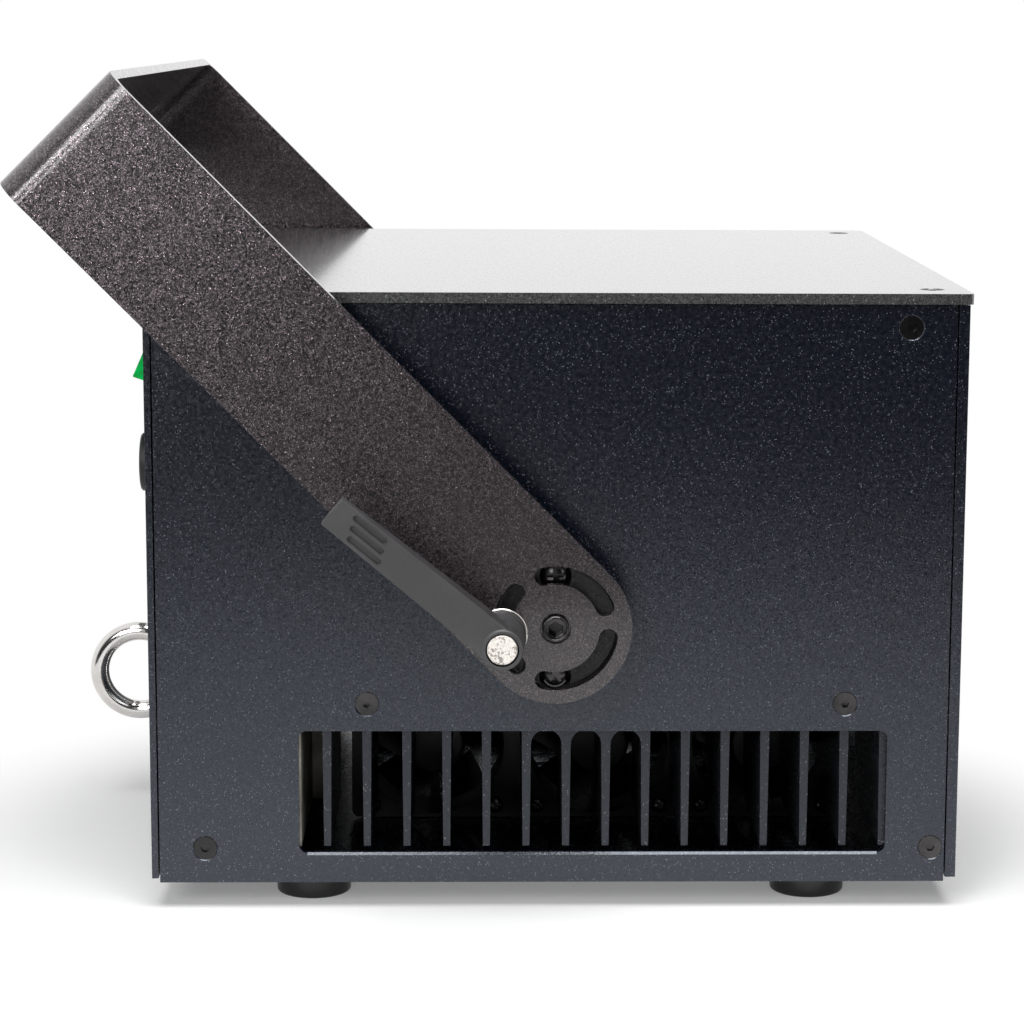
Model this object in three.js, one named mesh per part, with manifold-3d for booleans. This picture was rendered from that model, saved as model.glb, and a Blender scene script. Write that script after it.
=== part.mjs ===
// Laser show projector: a sheet and plate housing in a tilting yoke bracket.
// Millimetres, +Z up. The beam leaves along +X, the photographed side faces -Y.
import * as THREE from 'three';
import { mergeVertices } from 'three/addons/utils/BufferGeometryUtils.js';
import Module from 'manifold-3d';

// Housing, over the outer faces of its panels
const HOUSING_LENGTH = 308;
const HOUSING_WIDTH = 340;
const SIDE_HEIGHT = 222;
const SIDE_THICKNESS = 3;
const FRONT_THICKNESS = 4;
const REAR_THICKNESS = 2.5;
const COVER_THICKNESS = 4;
const COVER_OVERHANG = 1.25;
const COVER_CORNER = 2;
const COVER_EDGE_BREAK = 0.8;
const BASE_THICKNESS = 3;
const BASE_RECESS = 0.6;
const END_PANEL_RAISE = 1.6;
const PANEL_SEAM = 0.6;
const FIT_GAP = 0.3;
const CUT_OVERRUN = 1;
const WELD_DISTANCE = 0.0001;

// Cross rails that tie the side panels together
const TOP_RAIL_WIDTH = 24;
const TOP_RAIL_HEIGHT = 12;
const RAIL_NOTCH_CLEARANCE = 1;
const FRONT_LOW_RAIL_WIDTH = 11;
const REAR_LOW_RAIL_WIDTH = 24;
const LOW_RAIL_HEIGHT = 18;

// Holes for the countersunk M5 screws of the panels
const SCREW_HOLE_RADIUS = 2.8;
const SCREW_SINK_RADIUS = 4.9;
const SCREW_HOLE_DEPTH = 13;
const SIDE_SCREW_TOP_DROP = 8.5;
const SIDE_SCREW_LOW_RISE = 13.4;
const SIDE_SCREW_FRONT_TOP_INSET = 21.8;
const SIDE_SCREW_FRONT_LOW_INSET = 9.9;
const SIDE_SCREW_REAR_INSET = 20.4;
const BENCH_SCREW_FRONT_INSET = 43.9;
const BENCH_SCREW_REAR_INSET = 82.4;
const COVER_SCREW_END_INSET = 12;
const COVER_SCREW_SIDE_INSET = 17.5;
const END_SCREW_SIDE_INSET = 35;

// Vent window in each side panel
const VENT_REAR_INSET = 56.3;
const VENT_FRONT_INSET = 27.4;
const VENT_LOW_EDGE = 11.6;
const VENT_HEIGHT = 47.7;
const VENT_CORNER = 3;

// Rubber feet
const FOOT_TOP_RADIUS = 15;
const FOOT_LOW_RADIUS = 14.4;
const FOOT_HEIGHT = 10.5;
const FOOT_EDGE_ROUND = 1.2;
const FOOT_RECESS_RADIUS = 5;
const FOOT_RECESS_DEPTH = 5;
const FOOT_REAR_INSET = 60.3;
const FOOT_FRONT_INSET = 54.5;
const FOOT_SIDE_INSET = 27;

// Optical bench and the finned heat sinks bolted beneath it
const BENCH_THICKNESS = 11;
const BENCH_MIDDLE = 69.8;
const FIN_COUNT = 15;
const FIN_FIRST_MARGIN = 10.6;
const FIN_LAST_MARGIN = 0.9;
const FIN_ROOT_THICKNESS = 3.63;
const FIN_TIP_THICKNESS = 2.78;
const FIN_TIP_HEIGHT = 13.2;
const FIN_ROOT_HEIGHT = 61.4;
const FIN_ROOT_FILLET = 2;
const ROUND_ROOT_HEIGHT = 59;
const SINK_CHEEK_THICKNESS = 3;
const SINK_CHEEK_GAP = 8.1;
const SINK_END_SETBACK = 0.6;
const SINK_DEPTH = 74;

// Cooling fans between the two heat sinks
const FANS_PER_SIDE = 3;
const FAN_SPACING = 7;
const FAN_BANK_MARGIN = 5.9;
const FAN_DEPTH = 25;
const FAN_RIM = 1.5;
const FAN_CORNER = 3;
const FAN_HUB_RADIUS = 12.5;
const FAN_HUB_LENGTH = 19;
const FAN_HUB_SETBACK = 1.5;
const FAN_STATOR_THICKNESS = 3;
const FAN_STRUT_WIDTH = 4;
const FAN_SHAFT_RADIUS = 1.5;
const FAN_SHAFT_LENGTH = 8;
const FAN_RUNNING_GAP = 0.4;
const FAN_TIP_GAP = 1.2;
const FAN_BLADE_COUNT = 5;
const FAN_BLADE_CHORD = 22;
const FAN_BLADE_THICKNESS = 1.2;
const FAN_BLADE_CAMBER = 2.4;
const FAN_BLADE_LEAN = 38;
const FAN_PLATE_THICKNESS = 1.5;
const FAN_PLATE_SETBACK = 3;

// Air intake slots in the base plate
const INTAKE_SLOT_WIDTH = 6;
const INTAKE_SLOT_PITCH = 16;
const INTAKE_ROWS = 3;
const INTAKE_COLUMNS = 4;
const INTAKE_BRIDGE_WIDTH = 10;
const INTAKE_END_MARGIN = 6.4;

// Yoke bracket of bent flat bar
const PIVOT_OFFSET = -0.7;
const PIVOT_HEIGHT = 103.1;
const BRACKET_GAP = 15.9;
const BRACKET_THICKNESS = 4;
const BRACKET_HALF_WIDTH = 28.55;
const BRACKET_REACH = 259;
const BRACKET_BEND_RADIUS = 11;
const BRACKET_LEAN = 44.8;
const SLOT_RADIUS = 20;
const SLOT_WIDTH = 7;
const SLOT_ENDS = [[-21, 58], [93, 179], [-147, -55]];
const PIVOT_SINK_RADIUS = 5.8;
const PIVOT_SINK_DEPTH = 2.4;
const RIG_HOLE_RADIUS = 6.5;
const SIDE_RIG_HOLE_RADIUS = 5.5;
const SIDE_RIG_HOLE_OFFSET = 118;

// Hub between each side panel and its bracket arm
const HUB_FLANGE_RADIUS = 26;
const HUB_FLANGE_THICKNESS = 9;
const HUB_BOSS_RADIUS = 22.6;
const HUB_SCREW_OFFSET = 19;
const HUB_SCREW_HOLE_RADIUS = 2.8;
const HUB_SCREW_RECESS_RADIUS = 6;
const HUB_SCREW_RECESS_DEPTH = 9.3;
const SIDE_BOSS_RADIUS = 26;
const SIDE_BOSS_THICKNESS = 6;
const SHAFT_CLEARANCE = 0.3;
const PIVOT_SCREW_RADIUS = 3;
const PIVOT_SCREW_HEAD_RADIUS = 5;
const PIVOT_SCREW_HEAD_HEIGHT = 4;
const PIVOT_SCREW_SOCKET_RADIUS = 2.9;
const PIVOT_SCREW_SOCKET_DEPTH = 2.4;

// Clamp lever, its stud and washer
const CLAMP_ANGLE = 185;
const CLAMP_WASHER_RADIUS = 9.6;
const CLAMP_WASHER_THICKNESS = 1.6;
const STUD_RADIUS = 3;
const LEVER_HUB_LOW_RADIUS = 8.95;
const LEVER_HUB_TOP_RADIUS = 7.7;
const LEVER_HUB_HEIGHT = 28.6;
const LEVER_COLLAR_HEIGHT = 7;
const LEVER_ANGLE = 40.4;
const LEVER_LENGTH = 80;
const LEVER_HUB_WIDTH = 13.7;
const LEVER_TIP_WIDTH = 11.9;
const LEVER_TIP_LIFT = 6.5;
const LEVER_HUB_DEPTH = 13;
const LEVER_TIP_DEPTH = 6.5;
const LEVER_TOP_SINK = 1;
const GROOVE_WIDTH = 2;
const GROOVE_LENGTH = 15;
const GROOVE_DEPTH = 0.9;
const GROOVE_PITCH = 3.6;
const GROOVE_START = 56;
const STUD_HEAD_RADIUS = 5.55;
const STUD_HEAD_HEIGHT = 2.5;
const STUD_HEAD_GAP = 0.5;

// Safety eye in the rear panel
const EYE_HEIGHT = 45.7;
const EYE_STANDOFF = 23.2;
const EYE_RING_RADIUS = 17.45;
const EYE_BAR_RADIUS = 3.96;
const EYE_COLLAR_RADIUS = 7.5;
const EYE_COLLAR_THICKNESS = 3;
const EYE_SHANK_RADIUS = 4;
const EYE_SHANK_LENGTH = 15;
const EYE_NUT_RADIUS = 7.5;
const EYE_NUT_THICKNESS = 6.5;
const EYE_WASHER_RADIUS = 12;
const EYE_WASHER_THICKNESS = 2;

// Rows of fittings on the rear panel, down from the side panels' top edge
const UPPER_ROW_DROP = 20;
const ROW_PITCH = 43.7;

// Mains switch with a green rocker
const SWITCH_SIDE_INSET = 29;
const SWITCH_BEZEL_WIDTH = 22;
const SWITCH_BEZEL_HEIGHT = 30;
const SWITCH_BEZEL_THICKNESS = 1.6;
const SWITCH_BODY_DEPTH = 20;
const SWITCH_WALL = 2.7;
const ROCKER_HALF_HEIGHT = 11.2;
const ROCKER_VALLEY = 1.9;
const ROCKER_HALF_ANGLE = 12;
const ROCKER_TILT = 12;
const ROCKER_SKIRT_ANGLE = 28;
const ROCKER_DEPTH = 6;
const ROCKER_FOOT_HALF_HEIGHT = 8;
const ROCKER_SIDE_GAP = 0.4;
const ROCKER_END_GAP = 1.1;
const ROCKER_CAVITY_DEPTH = 9;

// Round mains connectors, inlet and outlet
const MAINS_PITCH = 41;
const MAINS_COLLAR_RADIUS = 11.1;
const MAINS_COLLAR_PROUD = 4.3;
const MAINS_BORE_RADIUS = 8.6;
const MAINS_BORE_DEPTH = 15;
const MAINS_BODY_DEPTH = 22;
const MAINS_FLANGE_THICKNESS = 2;

// Signal sockets and the connectors on the control board
const SOCKET_FLANGE_WIDTH = 26;
const SOCKET_FLANGE_HEIGHT = 31;
const SOCKET_FLANGE_THICKNESS = 2;
const SOCKET_FLANGE_CORNER = 3;
const SOCKET_BARREL_RADIUS = 11.5;
const SOCKET_BORE_RADIUS = 8.8;
const SOCKET_BORE_DEPTH = 13;
const SOCKET_BODY_DEPTH = 19;
const SOCKET_FIRST_OFFSET = 96;
const SOCKET_PITCH = 50;
const SOCKET_COUNT = 2;
const BOARD_STANDOFF = 14;
const DATA_SOCKET_OFFSET = 175;
const DATA_SOCKET_WIDTH = 16;
const DATA_SOCKET_HEIGHT = 14;
const DATA_SOCKET_PROUD = 1;
const DATA_PORT_WIDTH = 12;
const DATA_PORT_HEIGHT = 8.4;
const DATA_PORT_DEPTH = 11;
const LASER_PORT_COUNT = 2;
const LASER_PORT_FIRST_OFFSET = 59;
const LASER_PORT_PITCH = 62;
const LASER_PORT_FLANGE_WIDTH = 53;
const LASER_PORT_FLANGE_HEIGHT = 12.5;
const LASER_PORT_FLANGE_THICKNESS = 1;
const LASER_PORT_SHELL_WIDTH = 38.4;
const LASER_PORT_SHELL_HEIGHT = 8.2;
const LASER_PORT_SHELL_SLOPE = 1.5;
const LASER_PORT_PROUD = 6;
const LASER_PORT_POST_SPACING = 47;
const LASER_PORT_POST_RADIUS = 2.6;
const LASER_PORT_POST_LENGTH = 5;

// Key switch
const KEY_SIDE_INSET = 58;
const KEY_BARREL_RADIUS = 9;
const KEY_BARREL_DEPTH = 20;
const KEY_BEZEL_RADIUS = 11;
const KEY_BEZEL_THICKNESS = 2.5;
const KEY_PLUG_RADIUS = 5.6;
const KEY_PLUG_LENGTH = 16;
const KEY_BLADE_WIDTH = 7;
const KEY_BLADE_THICKNESS = 2;
const KEY_NECK_LENGTH = 6;
const KEY_BOW_RADIUS = 10;
const KEY_BOW_HOLE_RADIUS = 2.5;

// Laser aperture, its window and the sliding mask
const APERTURE_HEIGHT = 121;
const APERTURE_WIDTH = 70;
const APERTURE_TALL = 46;
const APERTURE_CORNER = 4;
const WINDOW_MARGIN = 5;
const WINDOW_THICKNESS = 2;
const MASK_SIDE_MARGIN = 6;
const MASK_TALL = 45;
const MASK_THICKNESS = 2;
const MASK_CORNER = 4;
const MASK_DROP = 1.5;
const MASK_TRAVEL = 30;
const MASK_SLOT_WIDTH = 4.6;
const MASK_SLOT_EDGE = 5;
const THUMB_SPACING = 86;
const THUMB_RADIUS = 6.5;
const THUMB_LENGTH = 8;
const THUMB_SHANK_RADIUS = 2;
const THUMB_FLUTES = 8;
const THUMB_FLUTE_RADIUS = 1.3;
const THUMB_SHANK_REACH = 3;

// Optics on the bench
const LASER_BEAM_RISE = 30;
const LASER_LENGTH = 78;
const LASER_WIDTH = 30;
const LASER_TALL = 42;
const LASER_REAR_OFFSET = -30;
const LASER_FIRST_OFFSET = 52;
const LASER_PITCH = 34;
const LASER_NOSE_RADIUS = 5;
const LASER_NOSE_LENGTH = 8;
const LASER_NOSE_BORE_RADIUS = 2;
const LASER_FIN_COUNT = 5;
const LASER_GROOVE_WIDTH = 2;
const LASER_GROOVE_DEPTH = 8;
const SCAN_SETBACK = 39.7;
const MIRROR_SIZE = 16;
const MIRROR_THICKNESS = 2;
const MIRROR_SEAT_DEPTH = 2;
const MIRROR_POST_WIDTH = 12;
const MIRROR_POST_WALL = 3;
const MIRROR_FOOT_WALL = 6;
const MIRROR_FOOT_THICKNESS = 4;
const SCAN_MIRROR_RISE = 16;
const MOTOR_RADIUS = 9;
const MOTOR_LENGTH = 34;
const MOTOR_MIRROR_GAP = 9;
const SCAN_BLOCK_WALL = 6;
const SCAN_BLOCK_LENGTH = 26;
const SCAN_SHAFT_RADIUS = 1.5;
const SCAN_SHAFT_DEPTH = 8;
const SCAN_HORIZONTAL_SIZE = 9;
const SCAN_VERTICAL_SIZE = 14;
const SCAN_MIRROR_LENGTH = 12;
const SCAN_MIRROR_THICKNESS = 1.2;
const SCAN_CLIP_LENGTH = 4;
const SCAN_CLIP_RADIUS = 2.6;

// Power supply and circuit boards
const SUPPLY_LENGTH = 190;
const SUPPLY_WIDTH = 96;
const SUPPLY_TALL = 38;
const SUPPLY_REAR_OFFSET = -118;
const SUPPLY_SIDE_GAP = 16.7;
const SUPPLY_TERMINAL_DEPTH = 14;
const SUPPLY_TERMINAL_DROP = 16;
const BOARD_THICKNESS = 1.6;
const BOARD_POST_RADIUS = 3;
const BOARD_POST_HEIGHT = 8;
const BOARD_POST_INSET = 5;
const SCANNER_BOARD_LENGTH = 110;
const SCANNER_BOARD_WIDTH = 80;
const DRIVER_BOARD_LENGTH = 56;
const DRIVER_BOARD_WIDTH = 110;
const DRIVER_REAR_OFFSET = -108;
const DRIVER_SIDE_GAP = 16.7;
const CONTROL_BOARD_WIDTH = 156;
const CONTROL_BOARD_TALL = 30;
const CONTROL_BOARD_OFFSET = 29;
const CHIP_HEIGHT = 5;
const CHIP_SIZE = 16;
const CHIP_PITCH = 27;

// Facet counts
const ROUND_SIDES = 18;
const SMALL_SIDES = 8;
const TINY_SIDES = 6;
const LARGE_SIDES = 28;
const EYE_SIDES = 24;
const HUB_SIDES = 12;
const CONNECTOR_SIDES = 16;
const CURVE_STEPS = 1;
const BEND_STEPS = 3;
const ARM_END_STEPS = 7;

const DEGREE = Math.PI / 180;
const ALONG_X = new THREE.Matrix4().set(0, 0, 1, 0, 1, 0, 0, 0, 0, 1, 0, 0, 0, 0, 0, 1);
const ALONG_Y = new THREE.Matrix4().makeRotationX(Math.PI / 2);

// Planes of the housing
const frontX = HOUSING_LENGTH / 2;
const rearX = -frontX;
const frontInnerX = frontX - FRONT_THICKNESS;
const rearInnerX = rearX + REAR_THICKNESS;
const sideY = HOUSING_WIDTH / 2;
const sideInnerY = sideY - SIDE_THICKNESS;
const insideY = sideInnerY - FIT_GAP;
const insideFrontX = frontInnerX - FIT_GAP;
const insideRearX = rearInnerX + FIT_GAP;
const baseTop = BASE_RECESS + BASE_THICKNESS;
const benchBottom = BENCH_MIDDLE - BENCH_THICKNESS / 2;
const benchTop = BENCH_MIDDLE + BENCH_THICKNESS / 2;
const coverBottom = SIDE_HEIGHT + FIT_GAP;
const coverTop = coverBottom + COVER_THICKNESS;
const beamHeight = benchTop + LASER_BEAM_RISE;
const scanX = insideFrontX - SCAN_SETBACK;
const upperRow = SIDE_HEIGHT - UPPER_ROW_DROP;
const lowerRow = upperRow - ROW_PITCH;

const wasm = await Module();
wasm.setup();

const FINISHES = {
  panel: { color: 0x1d2126, roughness: 0.55, metalness: 0.3 },
  cover: { color: 0x24272b, roughness: 0.4, metalness: 0.3 },
  bracket: { color: 0x3a3436, roughness: 0.6, metalness: 0.3 },
  anodised: { color: 0x17181a, roughness: 0.5, metalness: 0.6 },
  aluminium: { color: 0x9a9896, roughness: 0.45, metalness: 0.9 },
  steel: { color: 0xc4c4c2, roughness: 0.3, metalness: 1 },
  blackSteel: { color: 0x141416, roughness: 0.4, metalness: 0.8 },
  rubber: { color: 0x0b0b0c, roughness: 0.35, metalness: 0 },
  plastic: { color: 0x111214, roughness: 0.4, metalness: 0 },
  leverPlastic: { color: 0x2d2e30, roughness: 0.5, metalness: 0.1 },
  greenPlastic: { color: 0x12a53c, roughness: 0.2, metalness: 0 },
  circuit: { color: 0x0e4a2b, roughness: 0.5, metalness: 0 },
  glass: { color: 0xd8e6ea, roughness: 0.05, metalness: 0 },
  mirror: { color: 0xd9dadc, roughness: 0.03, metalness: 1 },
};

const group = new THREE.Group();

// Solids

function signedVolume(positions, indices) {
  const corners = [new THREE.Vector3(), new THREE.Vector3(), new THREE.Vector3()];
  let volume = 0;
  for (let i = 0; i < indices.length; i += 3) {
    corners.forEach((corner, j) => corner.fromArray(positions, indices[i + j] * 3));
    volume += corners[0].dot(corners[1].clone().cross(corners[2]));
  }
  return volume;
}

function toSolid(geometry) {
  const bare = geometry.clone();
  bare.deleteAttribute('normal');
  bare.deleteAttribute('uv');
  const merged = mergeVertices(bare, WELD_DISTANCE);
  const positions = merged.attributes.position.array;
  const triangles = [];
  for (let i = 0; i < merged.index.count; i += 3) {
    const [a, b, c] = [0, 1, 2].map((j) => merged.index.getX(i + j));
    if (a !== b && b !== c && c !== a) triangles.push(a, b, c);
  }
  if (signedVolume(positions, triangles) < 0) triangles.reverse();
  return new wasm.Manifold(new wasm.Mesh({
    numProp: 3,
    vertProperties: Float32Array.from(positions),
    triVerts: Uint32Array.from(triangles),
  }));
}

function toGeometry(solid) {
  const mesh = solid.getMesh();
  const geometry = new THREE.BufferGeometry();
  geometry.setAttribute('position', new THREE.BufferAttribute(Float32Array.from(mesh.vertProperties), 3));
  geometry.setIndex(Array.from(mesh.triVerts));
  geometry.computeVertexNormals();
  return geometry;
}

function joined(...geometries) {
  return toGeometry(geometries.map(toSolid).reduce((sum, solid) => sum.add(solid)));
}

function cut(geometry, ...cutters) {
  return toGeometry(cutters.map(toSolid).reduce((rest, cutter) => rest.subtract(cutter), toSolid(geometry)));
}

function common(first, second) {
  return toGeometry(toSolid(first).intersect(toSolid(second)));
}

function addPiece(name, geometry, finish) {
  const material = new THREE.MeshStandardMaterial(FINISHES[finish]);
  const mesh = new THREE.Mesh(toGeometry(toSolid(geometry)), material);
  mesh.name = name;
  group.add(mesh);
}

// A copy on the other side of the housing's middle plane
function opposite(geometry) {
  return geometry.clone().scale(1, -1, 1);
}

function addPair(name, geometry, finish) {
  addPiece(`${name}_right`, geometry, finish);
  addPiece(`${name}_left`, opposite(geometry), finish);
}

function block(xLow, xHigh, yLow, yHigh, zLow, zHigh) {
  const box = new THREE.BoxGeometry(xHigh - xLow, yHigh - yLow, zHigh - zLow);
  return box.translate((xLow + xHigh) / 2, (yLow + yHigh) / 2, (zLow + zHigh) / 2);
}

// A round bar along an axis, from one coordinate to the other, at a place on the other two axes
function bar(axis, radius, from, to, place, sides = ROUND_SIDES, endRadius = radius) {
  const cylinder = new THREE.CylinderGeometry(endRadius, radius, to - from, sides);
  cylinder.translate(0, (from + to) / 2, 0);
  if (axis === 'x') return cylinder.rotateZ(-Math.PI / 2).translate(0, place[0], place[1]);
  if (axis === 'z') return cylinder.rotateX(Math.PI / 2).translate(place[0], place[1], 0);
  return cylinder.translate(place[0], 0, place[1]);
}

// A flat outline given its thickness along an axis, between two coordinates
function plate(axis, shape, from, to, steps = CURVE_STEPS) {
  const options = { depth: to - from, bevelEnabled: false, curveSegments: steps };
  const geometry = new THREE.ExtrudeGeometry(shape, options);
  if (axis === 'x') return geometry.applyMatrix4(ALONG_X).translate(from, 0, 0);
  if (axis === 'y') return geometry.applyMatrix4(ALONG_Y).translate(0, to, 0);
  return geometry.translate(0, 0, from);
}

function revolve(axis, profile, place, sides = ROUND_SIDES) {
  const points = profile.map(([radius, along]) => new THREE.Vector2(radius, along));
  const lathe = new THREE.LatheGeometry(points, sides);
  if (axis === 'x') return lathe.rotateZ(-Math.PI / 2).translate(0, place[0], place[1]);
  if (axis === 'z') return lathe.rotateX(Math.PI / 2).translate(place[0], place[1], 0);
  return lathe.translate(place[0], 0, place[1]);
}

function outline(points) {
  return new THREE.Shape(points.map(([a, b]) => new THREE.Vector2(a, b)));
}

function roundedOutline(aLow, aHigh, bLow, bHigh, radius) {
  const shape = new THREE.Shape();
  shape.absarc(aHigh - radius, bLow + radius, radius, -Math.PI / 2, 0);
  shape.absarc(aHigh - radius, bHigh - radius, radius, 0, Math.PI / 2);
  shape.absarc(aLow + radius, bHigh - radius, radius, Math.PI / 2, Math.PI);
  shape.absarc(aLow + radius, bLow + radius, radius, Math.PI, Math.PI * 1.5);
  shape.closePath();
  return shape;
}

function centredOutline(a, b, width, height, radius) {
  return roundedOutline(a - width / 2, a + width / 2, b - height / 2, b + height / 2, radius);
}

// A slot bent round a centre, between two angles of its end centres
function arcSlot(radius, width, fromAngle, toAngle) {
  const shape = new THREE.Shape();
  const half = width / 2;
  const end = (angle, start) => {
    shape.absarc(radius * Math.cos(angle), radius * Math.sin(angle), half, start, start + Math.PI);
  };
  shape.absarc(0, 0, radius + half, fromAngle, toAngle);
  end(toAngle, toAngle);
  shape.absarc(0, 0, radius - half, toAngle, fromAngle, true);
  end(fromAngle, fromAngle + Math.PI);
  return shape;
}

// Countersunk screw holes

function countersunkHole() {
  const [shaft, head] = [SCREW_HOLE_RADIUS, SCREW_SINK_RADIUS];
  const profile = [[0, -SCREW_HOLE_DEPTH], [shaft, -SCREW_HOLE_DEPTH], [shaft, shaft - head], [head, 0],
    [head, CUT_OVERRUN], [0, CUT_OVERRUN]];
  return revolve('z', profile, [0, 0], SMALL_SIDES);
}

// Turns a shape made along +Z so that it points outwards from a face
function facing(geometry, direction, x, y, z) {
  const turn = new THREE.Quaternion().setFromUnitVectors(new THREE.Vector3(0, 0, 1), direction);
  return geometry.clone().applyQuaternion(turn).translate(x, y, z);
}

const toRight = new THREE.Vector3(0, -1, 0);
const toFront = new THREE.Vector3(1, 0, 0);
const toRear = new THREE.Vector3(-1, 0, 0);
const upwards = new THREE.Vector3(0, 0, 1);
const topScrewHeight = SIDE_HEIGHT - SIDE_SCREW_TOP_DROP;
const sideScrewPlaces = [
  [frontX - SIDE_SCREW_FRONT_TOP_INSET, topScrewHeight],
  [rearX + SIDE_SCREW_REAR_INSET, topScrewHeight],
  [frontX - BENCH_SCREW_FRONT_INSET, BENCH_MIDDLE],
  [rearX + BENCH_SCREW_REAR_INSET, BENCH_MIDDLE],
  [frontX - SIDE_SCREW_FRONT_LOW_INSET, SIDE_SCREW_LOW_RISE],
  [rearX + SIDE_SCREW_REAR_INSET, SIDE_SCREW_LOW_RISE],
];
const coverScrewPlaces = [frontX - COVER_SCREW_END_INSET, rearX + COVER_SCREW_END_INSET]
  .flatMap((x) => [sideY - COVER_SCREW_SIDE_INSET, COVER_SCREW_SIDE_INSET - sideY].map((y) => [x, y]));
const endScrewPlaces = [topScrewHeight, SIDE_SCREW_LOW_RISE]
  .flatMap((z) => [sideY - END_SCREW_SIDE_INSET, END_SCREW_SIDE_INSET - sideY].map((y) => [y, z]));

function allScrewHoles() {
  const hole = countersunkHole();
  const right = sideScrewPlaces.map(([x, z]) => facing(hole, toRight, x, -sideY, z));
  const ends = endScrewPlaces.flatMap(([y, z]) => [facing(hole, toFront, frontX, y, z),
    facing(hole, toRear, rearX, y, z)]);
  const top = coverScrewPlaces.map(([x, y]) => facing(hole, upwards, x, y, coverTop));
  return [...right, ...right.map(opposite), ...ends, ...top];
}

function boxOf(geometry) {
  geometry.computeBoundingBox();
  return geometry.boundingBox;
}

// Cuts only the screw holes that reach the piece
function drilled(geometry) {
  const box = boxOf(geometry);
  return cut(geometry, ...allScrewHoles().filter((hole) => boxOf(hole).intersectsBox(box)));
}

// Housing panels and rails

const ventRear = rearX + VENT_REAR_INSET;
const ventFront = frontX - VENT_FRONT_INSET;
const ventTop = VENT_LOW_EDGE + VENT_HEIGHT;
const finFirst = ventRear + FIN_FIRST_MARGIN;
const finLast = ventFront - FIN_LAST_MARGIN;
const finPitch = (finLast - finFirst) / (FIN_COUNT - 1);
const finMiddle = (finFirst + finLast) / 2;

function sidePanel() {
  const shape = outline([[rearInnerX + PANEL_SEAM, 0], [frontInnerX - PANEL_SEAM, 0],
    [frontInnerX - PANEL_SEAM, SIDE_HEIGHT], [rearInnerX + PANEL_SEAM, SIDE_HEIGHT]]);
  shape.holes.push(roundedOutline(ventRear, ventFront, VENT_LOW_EDGE, ventTop, VENT_CORNER));
  const boss = bar('y', SIDE_BOSS_RADIUS, -sideY + SIDE_THICKNESS / 2, SIDE_BOSS_THICKNESS - sideInnerY,
    pivotPlace, ROUND_SIDES);
  return joined(drilled(plate('y', shape, -sideY, -sideInnerY)), boss);
}

function topCover() {
  const x = frontX + COVER_OVERHANG;
  const y = sideY + COVER_OVERHANG;
  const shape = roundedOutline(-x + COVER_EDGE_BREAK, x - COVER_EDGE_BREAK, -y + COVER_EDGE_BREAK,
    y - COVER_EDGE_BREAK, COVER_CORNER);
  const options = {
    depth: COVER_THICKNESS - 2 * COVER_EDGE_BREAK,
    bevelEnabled: true,
    bevelSegments: 1,
    bevelSize: COVER_EDGE_BREAK,
    bevelThickness: COVER_EDGE_BREAK,
    curveSegments: CURVE_STEPS,
  };
  const cover = new THREE.ExtrudeGeometry(shape, options).translate(0, 0, coverBottom + COVER_EDGE_BREAK);
  return drilled(cover);
}

function frontPanel() {
  const shape = outline([[-sideY, END_PANEL_RAISE], [sideY, END_PANEL_RAISE], [sideY, SIDE_HEIGHT],
    [-sideY, SIDE_HEIGHT]]);
  shape.holes.push(centredOutline(0, APERTURE_HEIGHT, APERTURE_WIDTH, APERTURE_TALL, APERTURE_CORNER));
  const panel = drilled(plate('x', shape, frontInnerX, frontX));
  const radius = THUMB_SHANK_RADIUS + SHAFT_CLEARANCE;
  return cut(panel, ...thumbPlaces.map((place) => {
    return bar('x', radius, frontInnerX - CUT_OVERRUN, frontX + CUT_OVERRUN, place, SMALL_SIDES);
  }));
}

function rearPanel() {
  const shape = outline([[-sideY, END_PANEL_RAISE], [sideY, END_PANEL_RAISE], [sideY, SIDE_HEIGHT],
    [-sideY, SIDE_HEIGHT]]);
  return cut(drilled(plate('x', shape, rearX, rearInnerX)), ...rearCutouts());
}

function rearCutouts() {
  const [from, to] = [rearX - CUT_OVERRUN, rearInnerX + CUT_OVERRUN];
  const round = (radius, place, sides = CONNECTOR_SIDES) => {
    return bar('x', radius + FIT_GAP, from, to, place, sides);
  };
  const square = (place, width, height) => {
    const shape = centredOutline(place[0], place[1], width + 2 * FIT_GAP, height + 2 * FIT_GAP, FIT_GAP);
    return plate('x', shape, from, to);
  };
  return [
    ...mainsPlaces.map((place) => round(MAINS_COLLAR_RADIUS, place)),
    ...socketPlaces.map((place) => round(SOCKET_BARREL_RADIUS, place)),
    ...laserPortPlaces.map((place) => square(place, LASER_PORT_SHELL_WIDTH, LASER_PORT_SHELL_HEIGHT)),
    ...laserPortPlaces.flatMap(laserPortPosts).map((place) => round(LASER_PORT_POST_RADIUS, place, 6)),
    square(dataSocketPlace, DATA_SOCKET_WIDTH, DATA_SOCKET_HEIGHT),
    square(switchPlace, switchBodyWidth, switchBodyHeight),
    round(KEY_BARREL_RADIUS, keyPlace),
    round(EYE_SHANK_RADIUS, eyePlace, SMALL_SIDES),
  ];
}

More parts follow.
